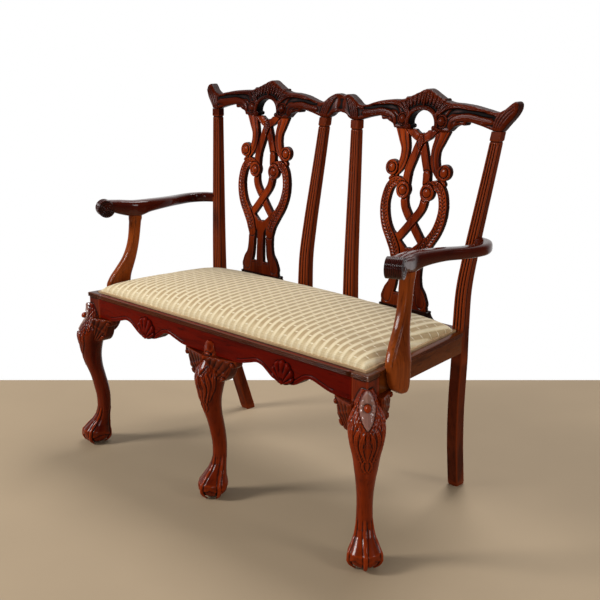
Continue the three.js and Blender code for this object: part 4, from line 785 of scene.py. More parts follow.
def crestBoard():
    xs = np.arange(0, 545, crest["step"])
    zs = np.arange(splatTop - 6, crestPeak + 6, crest["step"])
    x, z = np.meshgrid(xs, zs, indexing="ij")
    board, eye = (insideOutline(x, z, outline) for outline in crestOutlines())
    inside = np.minimum(board, -eye)
    up = z - stileTop
    height = -1.5 * ease(4, 12, np.minimum(inside, 30))

    def carve(rise, s, soft=1.5):  # lays a raised or sunk stroke over the board
        nonlocal height
        height = mixed(height, rise, ease(-soft, soft, s["inside"]))

    def stud(apart, reach, rise, cut=0):  # a knob, whose base comes before what it stands on
        nonlocal height
        height = np.where(apart < reach, rise * domed(apart, reach) - cut, height)

    for way in (1, -1):
        q = (x - splatTopX) * way
        hollow, lower, rim = (
            strap(q, up, [[a * (crest["innerReach"] if way < 0 and a > crest["innerFrom"] else 1), b, half]
                          for a, b, half in rows])
            for rows in (outerHollow, lowerBand, upperBand)
        )
        carve(-4.2, hollow, 3)
        carve(2.6 * grooved(lower, (0.45, -0.35)) - 0.6, lower)
        carve(4.2 * grooved(rim, (0.3, -0.35)), rim)
        r = np.hypot(q - crest["bossPlace"][0], up - crest["bossPlace"][1])
        boss = crest["bossRise"] * domed(r, crest["bossRadius"])
        ring = 2.2 * hump(r - 14.5, 1.8) - 2.4 * hump(r - 11.8, 1.1)
        disc = np.maximum(boss, ring) - 1.2 + 1.2 * (r < crest["bossRadius"])
        height = np.where(r < crest["bossDisc"], disc, height)
        curl = np.hypot(q - crest["curlPlace"][0], up - crest["curlPlace"][1])
        stud(curl, crest["curlRadius"], crest["curlRise"], 1.8 * hump(curl - 4.2, 1.1))
        for rows in fanLeaves:
            leaf = strap(q, up, rows)
            vein = 0.6 * np.sin((leaf["run"] - 6 * np.abs(leaf["across"])) * 1.3)
            carve(3.6 * domed(leaf["across"]) - 1.5 * hump(leaf["across"], 0.18) + vein - 0.6, leaf, 1.0)
        knob = np.hypot(q - crest["knobPlace"][0], up - crest["knobPlace"][1])
        inside = np.maximum(inside, crest["knobRadius"] + 0.8 - knob)
        stud(knob, crest["knobReach"], crest["knobRise"])
    spine = strap(x - splatTopX, up, fanSpine)
    carve(3.4 * domed(spine["across"]) + 0.8 * np.sin(spine["run"] * 1.15), spine, 1.0)
    topKnob = np.hypot(x - splatTopX, up - crest["topKnobRise"])
    inside = np.maximum(inside, crest["knobRadius"] - topKnob)
    stud(topKnob, crest["topKnobReach"], 4.8)
    lip = crest["lipWidth"]
    lipFace = crest["lipRise"] * (0.55 + 0.45 * np.sin(np.clip(-eye / lip, 0, 1) * math.pi))
    lipFace = lipFace - 1.2 * hump(-eye - 4.4, 0.9) - 1.2 * hump(-eye - 8, 0.8)
    height = mixed(height, lipFace, ease(-lip - 1.5, -lip + 1, eye) * ease(-14, -8, up))
    for hand in (1, -1):
        scroll = np.hypot(x - splatTopX - hand * crest["lipScroll"][0], up - crest["lipScroll"][1])
        inside = np.maximum(inside, crest["lipScrollRadius"] - 2 - scroll)
        stud(scroll, crest["lipScrollRadius"], crest["lipScrollRise"], 1.2 * hump(scroll - 4, 1))
    for middle, rows in ((earX, earFan), (stileTopX, middleFan)):  # an upright's reeds spread into its ear
        ear = strap(x - middle, up, rows)
        reeds = np.abs(np.sin(math.pi * (ear["across"] * 0.5 + 0.5) * crest["reedCount"])) ** 0.6
        carve(crest["reedRise"] * (reeds - 0.55) + 1.0, ear, 2.5)
    height = height - 4.5 * hump(x, 9) * ease(14, 30, up)
    inside = np.minimum(inside, np.where(up < 30, z - splatTop, 99))
    height = height - rounded(board, crest["edgeRound"]) * 0.75 * ease(splatTop + 2, splatTop + 8, z)
    height = height - rounded(-eye, crest["eyeRound"])
    inside, height = (np.vstack([grid[:0:-1], grid]) for grid in (inside, height))
    front = seatDepth + crest["setback"]
    back = front + crest["thickness"]
    return boardSkin(np.r_[-xs[:0:-1], xs], zs, inside, height, front, back, crest["step"], crest["backRound"])


points, faces = crestBoard()
# painted shade in the hollows and on the sawn walls, darkest on the walls round the eye
hollow = paintedWallShade(points, faces, hollowsOf(points, faces) * crest["hollowing"], crest["wallDark"])
eyeWall = (np.abs(normalsOf(points, faces)[:, 1]) < 0.35) & (points[:, 2] < stileTop + 40)
eyeWall &= np.abs(np.abs(points[:, 0]) - splatTopX) < 42
hollow = np.where(eyeWall, np.maximum(hollow, crest["eyeWallDark"]), hollow)
makePiece("crest_rail_carved", (leaned(points), faces), crestWood, "mahogany", ["crest_rail"], hollow=hollow)
print("crest made,", len(faces), "faces")


# Front rail: shaped aprons, two shells and a beaded nosing; the side rails carry the same nosing
rail = {
    "step": 1.5, "apronShare": 0.624, "apronRise": 16, "lineInset": 8, "lineDepth": 1.5, "beads": 3,
    "shellRadius": 35, "shellFoot": 24, "shellRise": 8, "petals": 9, "hingeRadius": 7, "edgeRound": 2.4,
    "backDarkening": 0.5, "sharp": 35,
}
shellX = settee["frontWidth"] / 4
apronReach = shellX * rail["apronShare"]
apronCurve = [[1, 0], [0.9, 0.12], [0.72, 0.6], [0.56, 1], [0.44, 0.75], [0.35, 0.2], [0.24, -0.5], [0.13, -0.78]]
bayEnd = frontHalf - legPost


def nosingAt(z):  # how far the beaded nosing stands proud at a height
    share = np.clip((z - nosingBottom) / settee["nosing"], 0, 1)
    beads = np.abs(np.sin(math.pi * share * rail["beads"])) ** 0.75
    proud = settee["nosingReach"] * (0.35 + 0.65 * beads) * ease(nosingBottom - 1.2, nosingBottom + 0.8, z)
    return np.where(z > nosingBottom - 1.2, proud, 0) - 2.2 * ease(railTop - 1.6, railTop, z)


def shellFace(x, z):  # a fluted shell: how far inside it, and its height, from the rail's lower edge
    reach = np.hypot(x, (z - 8) * np.where(z < 8, rail["shellRadius"] / rail["shellFoot"], 1))
    lobe = np.abs(np.cos(np.arctan2(x, z + 14) * rail["petals"] * math.pi / 3.5))
    radius = rail["shellRadius"] * (0.9 + 0.1 * lobe**0.7)
    share = np.clip(reach / radius, 0, 1)
    dome = rail["shellRise"] * (0.35 + 0.65 * domed(share))
    flutes = 3.4 * (lobe**0.7 - 0.8) * ease(0.1, 0.45, share)
    face = dome + flutes + 1.4 * hump(share - 0.86, 0.08) * lobe
    hinge = np.hypot(x, z + 9)
    knob = np.maximum(face, 5.5 + 3 * domed(hinge, rail["hingeRadius"]))
    return radius - reach, np.where(hinge < rail["hingeRadius"], knob, face)


def railFront():
    step = rail["step"]
    xs = np.arange(0, bayEnd + step * 3, step)
    zs = np.arange(railBottom - 22, railTop + 4, step)
    x, z = np.meshgrid(xs, zs, indexing="ij")
    aside = np.abs(x - shellX)
    rows = [[apronReach * a, railBottom + rail["apronRise"] * b] for a, b in apronCurve]
    arc = throughPoints(rows + [[0, railBottom - 14]], 60)
    low = np.interp(aside, arc[::-1, 0], arc[::-1, 1], right=railBottom)
    near = np.minimum(*(nearLine([x, z], arc * [way, 1] + [shellX, 0])[0] for way in (1, -1)))
    inside = np.minimum(z - low, railTop - z)
    inside = np.where((inside > 0) & (aside < apronReach), np.minimum(inside, near), inside)
    span = ease(apronReach + 6, apronReach - 8, aside) * ease(nosingBottom, nosingBottom - 6, z)
    off = near - rail["lineInset"]
    mould = 0.9 * hump(off, 1.7) - rail["lineDepth"] * hump(off - 3, 1.3) - 0.8 * hump(off + 3, 1.2)
    height = 0.3 * nosingAt(z) + span * mould
    within, shell = shellFace(x - shellX, z - railBottom)
    rise = np.where(within > 0, shell, height - 1.8 * np.clip(1 + within / 4, 0, 1))
    inside = np.maximum(inside, np.minimum(within, z - (railBottom - 15.6)))
    rise = rise - rounded(np.where(z > railTop - 8, 20, inside), rail["edgeRound"])
    inside, rise = (np.vstack([grid[:0:-1], grid])[:, None, :] for grid in (inside, rise))
    full = np.r_[-xs[:0:-1], xs]
    ys = np.arange(-rail["shellRise"] - 4 * step, railThickness + 3 * step, step)
    inside = np.minimum(inside, bayEnd - jointGap - np.abs(full)[:, None, None])
    deep, up = ys[None, :, None], zs[None, None, :]
    pocket = np.minimum(up - ledge, deep - lipWidth)
    field = largest(-inside, -rise - deep, deep - railThickness, pocket, up - railTop)
    return skinOf(field, [full[0], ys[0], zs[0]], step)


def noseLine(top, foot):  # the nosing's section: how far out, and how high
    heights = np.linspace(top, foot, 46)
    return list(zip(nosingAt(heights), heights))


points, faces = railFront()
# darker everywhere behind the front face; painted shade in the front's hollows
hollow = np.where(points[:, 1] > 6, rail["backDarkening"], hollowsOf(points, faces))
makePiece("front_rail_carved", (points, faces), railWood, "mahogany", ["front_rail"], hollow=hollow)

section = noseLine(railTop - jointGap, nosingBottom - 1.2)
section += [(-3, section[-1][1]), (-3, section[0][1])]
skin = ringSkin([[(x, -out, z) for out, z in section] for x in np.linspace(jointGap - bayEnd, bayEnd - jointGap, 60)])
# painted shade in the nosing's grooves, painted highlight on its beads
hollow = np.clip(2.4 * hollowsOf(*skin[:2], 1), -1.2, 2)
makePiece("front_rail_nosing", skin, noseWood, "mahogany", hollow=hollow)

section = [(-lipWidth, ledge), (-lipWidth, railTop - 1), (1 - lipWidth, railTop)]
section += noseLine(railTop - 0.4, nosingBottom - 2)
section += [(0, sideRailBottom + 2), (-0.6, sideRailBottom + 0.6), (-2, sideRailBottom),
            (-railThickness, sideRailBottom), (-railThickness, ledge)]
depths = np.linspace(legPost + jointGap, seatDepth - jointGap, 24)
skin = ringSkin([[(sideX(y, -out), y, z) for out, z in section] for y in depths])
# painted shade in recesses, painted highlight on crowns
hollow = np.clip(hollowsOf(*skin[:2], 1), -0.6, 2)
makePair("side_rail_moulded", skin, sideWood, "mahogany", ["side_rail"], hollow=hollow, sharp=rail["sharp"])
print("rails made")


# Shoes: a dark moulding at each splat's foot. Its rows are shares of its height and of its toe.
shoe = {"height": 24, "toe": 16, "front": 3, "back": 29, "halfWidth": 73.5, "cut": 3, "setback": 6, "sharp": 30}
shoeRows = [(0, 1), (0.06, 1.0), (0.16, 0.96), (0.2, 0.8), (0.34, 0.62), (0.5, 0.42), (0.66, 0.3), (0.8, 0.22),
            (0.84, 0.3), (0.95, 0.28), (1, 0.14)]
rings = []
for share, out in shoeRows:
    w, cut = shoe["halfWidth"] + shoe["toe"] * out, shoe["cut"]
    near, rear = seatDepth + shoe["front"] + shoe["setback"] * (1 - out), seatDepth + shoe["back"]
    z = railTop + jointGap + (shoe["height"] - jointGap) * share
    half = [(w - cut, near, z), (w, near + cut, z), (w, rear, z)]
    rings.append([(-x, y, z) for x, y, z in half[::-1]] + half)
points, faces, caps = ringSkin(rings)
for side, way in sides:
    skin = (leaned(onSplatAxis(points, way)), faces, caps)
    makePiece(f"splat_shoe_moulded_{side}", skin, shoeWood, "mahogany_dark", [f"splat_shoe_{side}"],
              sharp=shoe["sharp"])
print("shoes made")


# Cabriole legs on ball-and-claw feet, with leaf-carved knees
leg = {
    "step": 1.6, "fineStep": 1.3, "kneeLap": 36, "footWidth": 88, "kneeReach": 39, "postDrop": 50,
    "power": 1.85, "footPower": 2.2, "ballRadius": 36, "ballRise": 25, "ballCentre": 25.3, "footTop": 132,
    "webEdge": 21, "webArch": 9, "talon": 4.6, "talonTurns": (0, 0.2, 0.5, 0.8),
    "leafTop": 414, "leafFoot": 331, "leafHalf": 17.5, "leafPower": 1.7, "leafRise": 3.6, "teeth": 8.2,
    "bossAt": 378, "bossRadius": 8.5, "bossRise": 9.5,
}
legHeight = railBottom + leg["kneeLap"]
legTable = throughPoints([
    [0, 0.5, -0.5, 0.46], [0.016, 0.62, -0.62, 0.56], [0.05, 0.7, -0.72, 0.66], [0.095, 0.66, -0.8, 0.66],
    [0.135, 0.46, -0.92, 0.63], [0.17, 0.2, -0.99, 0.55], [0.205, -0.03, -1.04, 0.49], [0.25, -0.15, -1.12, 0.435],
    [0.32, -0.15, -1.15, 0.42], [0.4, 0, -1.07, 0.44], [0.485, 0.21, -0.87, 0.51], [0.56, 0.5, -0.7, 0.6],
    [0.635, 0.74, -0.66, 0.7], [0.71, 0.9, -0.78, 0.86], [0.775, 1, -1, 0.95], [0.825, 0.8, -1.12, 0.92],
    [0.9, 0.34, -1.15, 0.68], [1, 0.08, -1.1, 0.3],
], 170)  # shares of the height, of the knee's reach ahead and behind, and of the foot's width
clawTable = np.array([
    [0.0, 0.72, -0.72, 0.64], [0.016, 0.94, -0.94, 0.83], [0.05, 1.08, -1.08, 0.96], [0.095, 1.0, -1.04, 0.9],
    [0.135, 0.6, -1.0, 0.7], [0.17, 0.24, -1.02, 0.57], [0.205, -0.02, -1.05, 0.5], [0.25, -0.15, -1.12, 0.435],
    [0.32, -0.15, -1.15, 0.42],
])
flankLeaves = [
    [[6, 330, 1.5], [13, 314, 4.6], [16, 296, 4.4], [10, 276, 2.4], [4, 260, 1.2]],
    [[18, 338, 2], [27, 320, 5], [29, 298, 4.8], [21, 276, 2.8], [11, 254, 1.2]],
    [[36, 350, 2], [42, 330, 5], [41, 308, 4.6], [32, 286, 2.8], [22, 266, 1.2]],
    [[7, 262, 1.2], [11, 251, 2.8], [8, 240, 2.2], [3, 232, 1]],
    [[30, 378, 2], [40, 366, 4.6], [49, 352, 4], [56, 342, 1.5]],
]
cornerSpot = ((frontHalf, 0), (math.sqrt(0.5), -math.sqrt(0.5)))  # a leg's place, and the way its knee points
middleSpot = ((0, 0), (0, -1))


def facing(x, y, place, forward):  # how far ahead of a place, and how far aside
    dx, dy = x - place[0], y - place[1]
    return dx * forward[0] + dy * forward[1], dy * forward[0] - dx * forward[1]


def outsideOval(a, b, halfA, halfB, power):
    reach = (np.abs(a / halfA) ** power + np.abs(b / halfB) ** power) ** (1 / power)
    return (reach - 1) * np.minimum(halfA, halfB)


def legSection(table, z):  # its middle, and half its depth and its width
    front, back, width = readTable(z / legHeight, table)
    return leg["kneeReach"] * (front + back) / 2, leg["kneeReach"] * (front - back) / 2, leg["footWidth"] * width / 2


def lozenge(v, z, blunt=leg["leafPower"]):  # the pointed leaf on a knee: how far inside it, and its carved face
    climb = np.clip((z - leg["leafFoot"]) / (leg["leafTop"] - leg["leafFoot"]), 0, 1)
    power = np.where(climb > 0.53, blunt, leg["leafPower"])
    half = leg["leafHalf"] * np.clip(1 - np.abs(2 * climb - 1.06) ** power, 0, 1) ** 0.8
    teeth = np.abs(np.sin((z + 0.7 * np.abs(v)) * math.pi / leg["teeth"])) ** 0.6
    within = half + 1.5 * (teeth - 0.5) * ease(0, 0.2, climb) * ease(1, 0.85, climb) - np.abs(v)
    toBoss = np.hypot(v, z - leg["bossAt"])
    ray = np.cos(np.arctan2(np.abs(v), z - leg["bossAt"]) * 9)
    face = leg["leafRise"] + 0.7 * ray * ease(9, 15, toBoss) + 0.9 * hump(v, 1.6) - 0.12 * np.abs(v)
    boss = leg["bossRise"] * domed(toBoss, leg["bossRadius"]) - 2.4 * hump(toBoss - leg["bossRadius"] - 0.8, 1.3)
    return within, face * ease(0.5, 4.5, within) + boss


def kneeRelief(u, v, z, middle, deep, wide):  # a leaf on the arris, low leaves on the flanks, a ridge below
    ahead = ease(-4, 8, u - middle)
    angle = np.arctan2(np.abs(v), u - middle)
    q = angle * 0.5 * (wide + deep)
    band = ease(232, 244, z) * ease(412, 396, z) * ease(0, 0.15, angle) * ease(2.3, 1.9, angle)
    slant = (z - 330) * 0.55
    net = np.sqrt(np.abs(np.sin((q + slant) * math.pi / 7.5) * np.sin((q - slant * 0.8) * math.pi / 11.0)))
    flank = 5 + 27 * hump(z - 352, 52) ** 0.8 - np.abs(q - 24 - (z - 330) * 0.14)
    relief = 1.5 * (net - 0.62) * band * ease(-1, 2.5, flank)
    for rows in flankLeaves:
        leaf = strap(q, z, rows)
        vein = 0.6 * np.sin((leaf["run"] + 5 * np.abs(leaf["across"])) * 1.35)
        face = 1.4 * domed(leaf["across"]) - 1.1 * hump(leaf["across"], 0.16) + vein + 0.2
        relief = mixed(relief, face, ease(-1, 1, leaf["inside"])) - hump(leaf["inside"] + 1.6, 1.1)
    within, leafFace = lozenge(v, z)
    relief = mixed(relief, leafFace, ahead * ease(-0.8, 0.8, within))
    relief = relief - 1.6 * ahead * hump(within + 1.5, 1.2) * ease(leg["leafFoot"] - 6, leg["leafFoot"], z)
    low = ahead * ease(leg["leafFoot"] + 2, leg["leafFoot"] - 4, z)
    groove = hump(np.abs(v) - 4.6, 1.1) * low * ease(292, 300, z)
    ridge = hump(v, 2.6) * low * ease(110, 180, z)
    chevron = hump(np.abs(v) + (z - 238) * 0.9, 1.8) * ahead * ease(9, 6, np.abs(v)) * ease(222, 230, z)
    return relief - 1.4 * groove + 0.9 * ridge + 1.2 * chevron


def footField(u, v, z, body):  # bell-shaped webs over a ball, with thin talons gripping it
    ballReach = np.sqrt((u**2 + v**2) / leg["ballRadius"] ** 2 + ((z - leg["ballCentre"]) / leg["ballRise"]) ** 2)
    ball = (ballReach - 1) * leg["ballRise"]
    middle, deep, wide = legSection(clawTable, z)
    turn = np.arctan2(v, u - middle)
    talons = [spot * 2 * math.pi for spot in leg["talonTurns"]]
    nearest = np.min([np.abs(np.angle(np.exp(1j * (turn - talon)))) for talon in talons], 0)
    arch = leg["webEdge"] + leg["webArch"] * np.clip(nearest / 0.7, 0, 1) ** 1.5
    bell = (np.hypot((u - middle) / deep, v / wide) / 0.955 - 1) * np.minimum(deep, wide)
    web = np.maximum(bell + 1.1 * hump(z - arch - 2, 1.4), arch - z)
    field = softMin(np.maximum(web, z - 140), ball, 0.6)
    field = np.where(z > 96, np.minimum(field, body), field)
    field = mixed(field, body, ease(96, 128, z))
    r = leg["talon"] * (0.55 + 0.45 * ease(110, 70, z)) * (1 - 0.25 * ease(14, 2, z))
    knuckle = 1 + 0.22 * hump(z - 58, 7) + 0.18 * hump(z - 34, 6)
    for talon in talons:
        way = (math.cos(talon), math.sin(talon))
        reach = 1 / np.hypot(way[0] / deep, way[1] / wide) - 3.5 * ease(16, 0, z)
        out, side = facing(u, v, (middle, 0), way)
        out = out - (reach - r * 0.75)
        toe = np.where(out < -14, 20, np.hypot(out, side) - r * knuckle) + 40 * ease(104, 130, z)
        field = field + 1.4 * hump(np.abs(side) - r - 1.6, 1.3) * (out > -9) * ease(118, 96, z)
        field = softMin(field, toe, 2.2)
    return field


def legField(x, y, z, place, forward):
    u, v = (part + 0 * z for part in facing(x, y, place, forward))
    z = z + 0 * u
    section = legSection(legTable, z)
    middle, deep, wide = section
    power = mixed(leg["footPower"], leg["power"], ease(40, 90, z))
    field = outsideOval(u - middle, v, deep, wide, power)
    near = (np.abs(field) < 16) & (z > 215)
    field[near] -= kneeRelief(*(part[near] for part in (u, v, z, *section)))
    foot = z < leg["footTop"]
    field[foot] = footField(*(part[foot] for part in (u, v, z, field)))
    return np.maximum(field, -z)


def outsideConvex(x, y, corners):  # corners listed anticlockwise
    field = np.full(np.broadcast(x, y).shape, -1e3)
    for (x0, y0), (x1, y1) in zip(corners, corners[1:] + corners[:1]):
        field = np.maximum(field, ((x - x0) * (y1 - y0) - (y - y0) * (x1 - x0)) / math.hypot(x1 - x0, y1 - y0))
    return field


def inPocket(x, y, z):  # how far inside the seat's pocket
    return np.minimum(np.minimum(y - lipWidth, sideX(y, lipWidth) - x), z - ledge)


def cornerHead(x, y, z):  # square head of a corner leg, with the nosing round it
    outer = outsideConvex(x, y, [(0, 0), (sideX(0), 0), (sideX(legPost), legPost), (0, legPost)]) - nosingAt(z)
    return largest(outer, frontHalf - legPost - x, y - legPost, z - railTop, railBottom - leg["postDrop"] - z,
                   inPocket(x, y, z))


def leafGlossAndHighlight(points, place, forward):  # the leaf round its boss gets a high gloss coat and a painted pale highlight
    x, y, z = points.T
    u, v = facing(x, y, place, forward)
    aroundBoss = ease(leg["bossRadius"] + 0.4, leg["bossRadius"] + 1.6, np.hypot(v, z - leg["bossAt"]))
    return ease(0.2, 1.4, lozenge(v, z)[0]) * ease(0, 6, u) * aroundBoss


lows, (x, y, z) = fieldOver((frontHalf - 50, -50, -3), (frontHalf + 50, 50, railTop + 4), leg["fineStep"])
body = np.maximum(legField(x, y, z, *cornerSpot), z - (railBottom + leg["kneeLap"] - 1))
field = np.maximum(np.minimum(body, cornerHead(x, y, z)), inPocket(x, y, z))
points, faces = skinOf(field, lows, leg["fineStep"])
# hollow: painted shade in recesses, painted highlight on crowns
makePair("front_leg_carved", (points, faces), legWood, "mahogany", ["front_leg"],
         hollow=hollowsOf(points, faces, 14), polish=leafGlossAndHighlight(points, *cornerSpot))
print("corner legs made,", len(faces), "faces")

middleLeaf = {"rise": 5.5, "width": 1.3, "boss": 6.5, "lobes": 5, "blunt": 4.5, "foot": 30}
lows, (x, y, z) = fieldOver((-50, -50, -3), (50, 50, leg["leafTop"] + 6), leg["step"])
knee = np.maximum(legField(x, y, z, *middleSpot), z - (railBottom - jointGap))
across = x / middleLeaf["width"]
within, leafFace = lozenge(across, z, middleLeaf["blunt"])
boss = middleLeaf["boss"] * domed(np.hypot(across, z - leg["bossAt"]), leg["bossRadius"])
fan = np.abs(np.sin(np.arctan2(x, z - railBottom + 12) * middleLeaf["lobes"])) ** 0.7
fall = 4 * np.clip(np.abs(x) / leg["leafHalf"], 0, 1.2) ** 2 + 3 * ease(leg["leafTop"] - 26, leg["leafTop"], z)
rise = middleLeaf["rise"] + leafFace - boss + 2.2 * (fan - 0.6) - fall
leaf = largest(-within, -rise - y, y + jointGap, railBottom - middleLeaf["foot"] - z, z - leg["leafTop"])
points, faces = skinOf(np.minimum(knee, leaf), lows, leg["step"])
# hollow: painted shade in recesses, painted highlight on crowns
makePiece("front_leg_middle_carved", (points, faces), legWood, "mahogany", ["front_leg_middle"],
          hollow=hollowsOf(points, faces))
print("middle leg made")


# Knee brackets, leaf-carved, with a little scroll at the lower end
bracket = {
    "step": 1.3, "drop": 66, "thickness": 22, "swell": 19, "veins": 7, "boss": 9, "curl": 6.5, "back": -18,
    "edgeRound": 3, "gap": 0.3,
}
bracketSpan = shellX - apronReach
bracketCurve = [[1, 0], [0.99, -0.16], [0.9, -0.27], [0.8, -0.28], [0.72, -0.45], [0.62, -0.66], [0.45, -0.85],
                [0.22, -0.97], [-0.3, -1]]


def bracketField(a, y, d, reach):  # a runs out from the post, d up from the rail's lower edge
    curve = throughPoints([[reach * p, bracket["drop"] * q] for p, q in bracketCurve], 50)
    outline = np.vstack([[[bracket["back"], 0]], curve, [[bracket["back"], -bracket["drop"]]]])
    a, d = np.meshgrid(a.ravel(), d.ravel(), indexing="ij")
    inside = insideOutline(a, d, outline)
    veins = np.abs(np.sin(np.arctan2(d + bracket["drop"] * 1.25, a + 20) * bracket["veins"] * 2.4)) ** 0.6
    rise = bracket["swell"] * np.clip(1 - a / reach, 0, 1.2) ** 0.8 * (1 - 0.25 * np.clip(-d / bracket["drop"], 0, 1))
    rise += 2.6 * (veins - 0.6) * ease(2, 6, inside) - hump(inside - 2.5, 1.0) + 1.6 * hump(d + 0.42 * a + 22, 5)
    for p, q, r, up in ((0.84, -0.17, bracket["curl"], 2.6), (0.44, -0.83, bracket["boss"], 4.5)):
        scroll = np.hypot(a - reach * p, d - bracket["drop"] * q)
        lump = rise * 0.6 + up + 3.2 * domed(scroll, r) - 1.3 * hump(scroll - r * 0.6, 0.8)
        rise = np.where(scroll < r, lump, rise - 2.2 * hump(scroll - r - 0.8, 1.4))
    rise = rise - rounded(inside, bracket["edgeRound"])
    return largest(-inside[:, None, :], -rise[:, None, :] - y, y - bracket["thickness"])


def cornerRoom(x, y, z):
    return np.minimum(legField(x, y, z, *cornerSpot), cornerHead(x, y, np.minimum(z, railBottom)))


def middleRoom(x, y, z):
    return legField(x, y, z, *middleSpot)


def makeBracket(place, postSide, origin, ways, room):  # ways are where its three directions go
    reach, ways = bracketSpan - postSide, np.array(ways)
    low = (-20, -bracket["swell"] - 8, -bracket["drop"] - 5)
    lows, (a, y, d) = fieldOver(low, (reach + 6, bracket["thickness"] + 4, 4), bracket["step"])
    world = [origin[k] + a * ways[0, k] + y * ways[1, k] + d * ways[2, k] for k in range(3)]
    field = np.maximum(bracketField(a, y, d, reach), bracket["gap"] - room(*world))
    points, faces = skinOf(field, lows, bracket["step"])
    skin = (points @ ways + origin, faces[:, ::-1] if np.linalg.det(ways) < 0 else faces)
    # hollow: painted shade in recesses, painted highlight on crowns
    makePair(f"knee_bracket_{place}_carved", skin, bracketWood, "mahogany", [f"knee_bracket_{place}"],
             hollow=hollowsOf(points, faces))


back, up = [0, 1, 0], [0, 0, 1]
sideOrigin, sideWays = [sideX(legPost), legPost, sideRailBottom], [[-sideSlope, 1, 0], [-1, 0, 0], up]
makeBracket("front", legPost, [frontHalf - legPost, 0, railBottom], [[-1, 0, 0], back, up], cornerRoom)
makeBracket("side", legPost, sideOrigin, sideWays, cornerRoom)
makeBracket("middle", legPost / 2, [legPost / 2, 0, railBottom], [[1, 0, 0], back, up], middleRoom)
print("brackets made")


# Beads down each knee, set along their line by Geometry Nodes
beads = {"radius": 2.3, "top": 329, "foot": 298, "count": 9, "proud": 1.2, "linePoints": 24}


def beadTree():
    tree = bpy.data.node_groups.new("beadsAlongLine", "GeometryNodeTree")
    addSockets(tree, "INPUT", [
        ("Line", "Geometry"), ("Bead radius", "Float", 0.002), ("Beads", "Int", 7), ("Wood", "Material"),
    ])
    addSockets(tree, "OUTPUT", [("Beads made", "Geometry")])
    start, end = tree.nodes.new("NodeGroupInput").outputs, tree.nodes.new("NodeGroupOutput")

    def step(kind, inputs, **values):
        return addNode(tree, f"GeometryNode{kind}", inputs, **values).outputs[0]

    curve = step("MeshToCurve", [("Mesh", start["Line"])])
    spots = step("CurveToPoints", [("Curve", curve), ("Count", start["Beads"])], mode="COUNT")
    bead = step("MeshIcoSphere", [("Radius", start["Bead radius"]), ("Subdivisions", 3)])
    laid = step("InstanceOnPoints", [("Points", spots), ("Instance", bead)])
    smooth = step("SetShadeSmooth", [("Geometry", step("RealizeInstances", [("Geometry", laid)]))])
    putIn(tree, end, 0, step("SetMaterial", [("Geometry", smooth), ("Material", start["Wood"])]))
    return tree


def makeBeads(name, place, forward):
    heights = np.linspace(beads["top"], beads["foot"], beads["linePoints"])
    middle, deep, _ = legSection(legTable, heights)
    out = middle + deep + beads["proud"]
    line = np.stack([place[0] + out * forward[0], place[1] + out * forward[1] - settee["toMiddle"], heights], 1) / 1000
    mesh = bpy.data.meshes.new(f"{name}_line")
    mesh.from_pydata(line.tolist(), [(i, i + 1) for i in range(len(line) - 1)], [])
    piece = linked(name, mesh)
    setter = piece.modifiers.new("beads", "NODES")
    setter.node_group = beadsAlongLine
    ids = {item.name: item.identifier for item in beadsAlongLine.interface.items_tree if item.in_out == "INPUT"}
    for label, value in (("Bead radius", beads["radius"] / 1000), ("Beads", beads["count"]), ("Wood", legWood)):
        setter[ids[label]] = value
    piece.data = remade(piece)
    piece.data.name = name
    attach(piece, "frame")


beadsAlongLine = beadTree()
for side, way in sides:
    (placeX, placeY), (forwardX, forwardY) = cornerSpot
    makeBeads(f"knee_beads_{side}", (placeX * way, placeY), (forwardX * way, forwardY))
makeBeads("knee_beads_middle", *middleSpot)
print("beads set")


# Arms with reeded, scrolled grips, and the curved supports that carry them
arm = {
    "sides": 56, "underside": 638, "width": 40, "power": 3.2, "gripRadius": 24, "gripLift": 32,
    "grip": (522, 73), "support": (492, 152), "elbow": (526, 352),
    "grooves": 9, "grooveDepth": 2.0, "rim": 2.2, "spiralPitch": 5.2, "eyeRadius": 5, "eyeRise": 1.8, "play": 0.2,
}
gripHeight = arm["underside"] + arm["gripLift"]
armEnd = (postAt((gripHeight - railTop) / settee["stileLength"]) + upright["topWidth"] / 2,
          postCentreY + leanAt(gripHeight))
armStops = np.array([arm["grip"], arm["support"], arm["elbow"], armEnd])
armRows = [  # the stretch, shares of it across and along, shares of the width wide and thick, and the lift
    [0, -0.1, -0.12, 0.9, 0.5, 0.38], [0, 0, 0, 0.96, 0.7, 0.36], [0, 0.26, 0.24, 1, 0.86, 0.2],
    [0, 0.55, 0.5, 1.05, 1.02, 0.02], [0, 1, 1, 1.08, 1.14, -0.24], [1, 0.02, 0.22, 1.05, 0.9, -0.12],
    [1, 0.3, 0.55, 0.98, 0.74, -0.12], [1, 0.8, 0.85, 0.9, 0.7, -0.22], [2, 0, 0.35, 0.85, 0.7, -0.25],
    [2, 0.38, 0.8, 0.8, 0.7, -0.25], [2, 1, 1, 0.62, 0.68, -0.25],
]


def armSkin():
    line, sizes = [], []
    for stretch, across, along, width, thick, lift in armRows:
        x, y = mixed(armStops[stretch], armStops[stretch + 1], np.array([across, along]))
        line.append([x, y, gripHeight + arm["gripRadius"] * lift])
        sizes.append([arm["width"] * width / 2, arm["width"] * thick / 2])
    line, sizes = throughPoints(line, 120), throughPoints(sizes, 120)
    turns = np.linspace(0, 2 * math.pi, arm["sides"], endpoint=False)
    a, b = (np.copysign(np.abs(t) ** (2 / arm["power"]), t) for t in (np.cos(turns), np.sin(turns)))
    rings = []
    for i, ((x, y, z), (half, deep)) in enumerate(zip(line, sizes)):
        ahead = (line[min(i + 1, len(line) - 1)] - line[max(i - 1, 0)])[:2]
        run = ahead / np.linalg.norm(ahead)
        rings.append(np.stack([x + run[1] * a * half, y - run[0] * a * half, z + b * deep], 1))
    return ringSkin(rings)


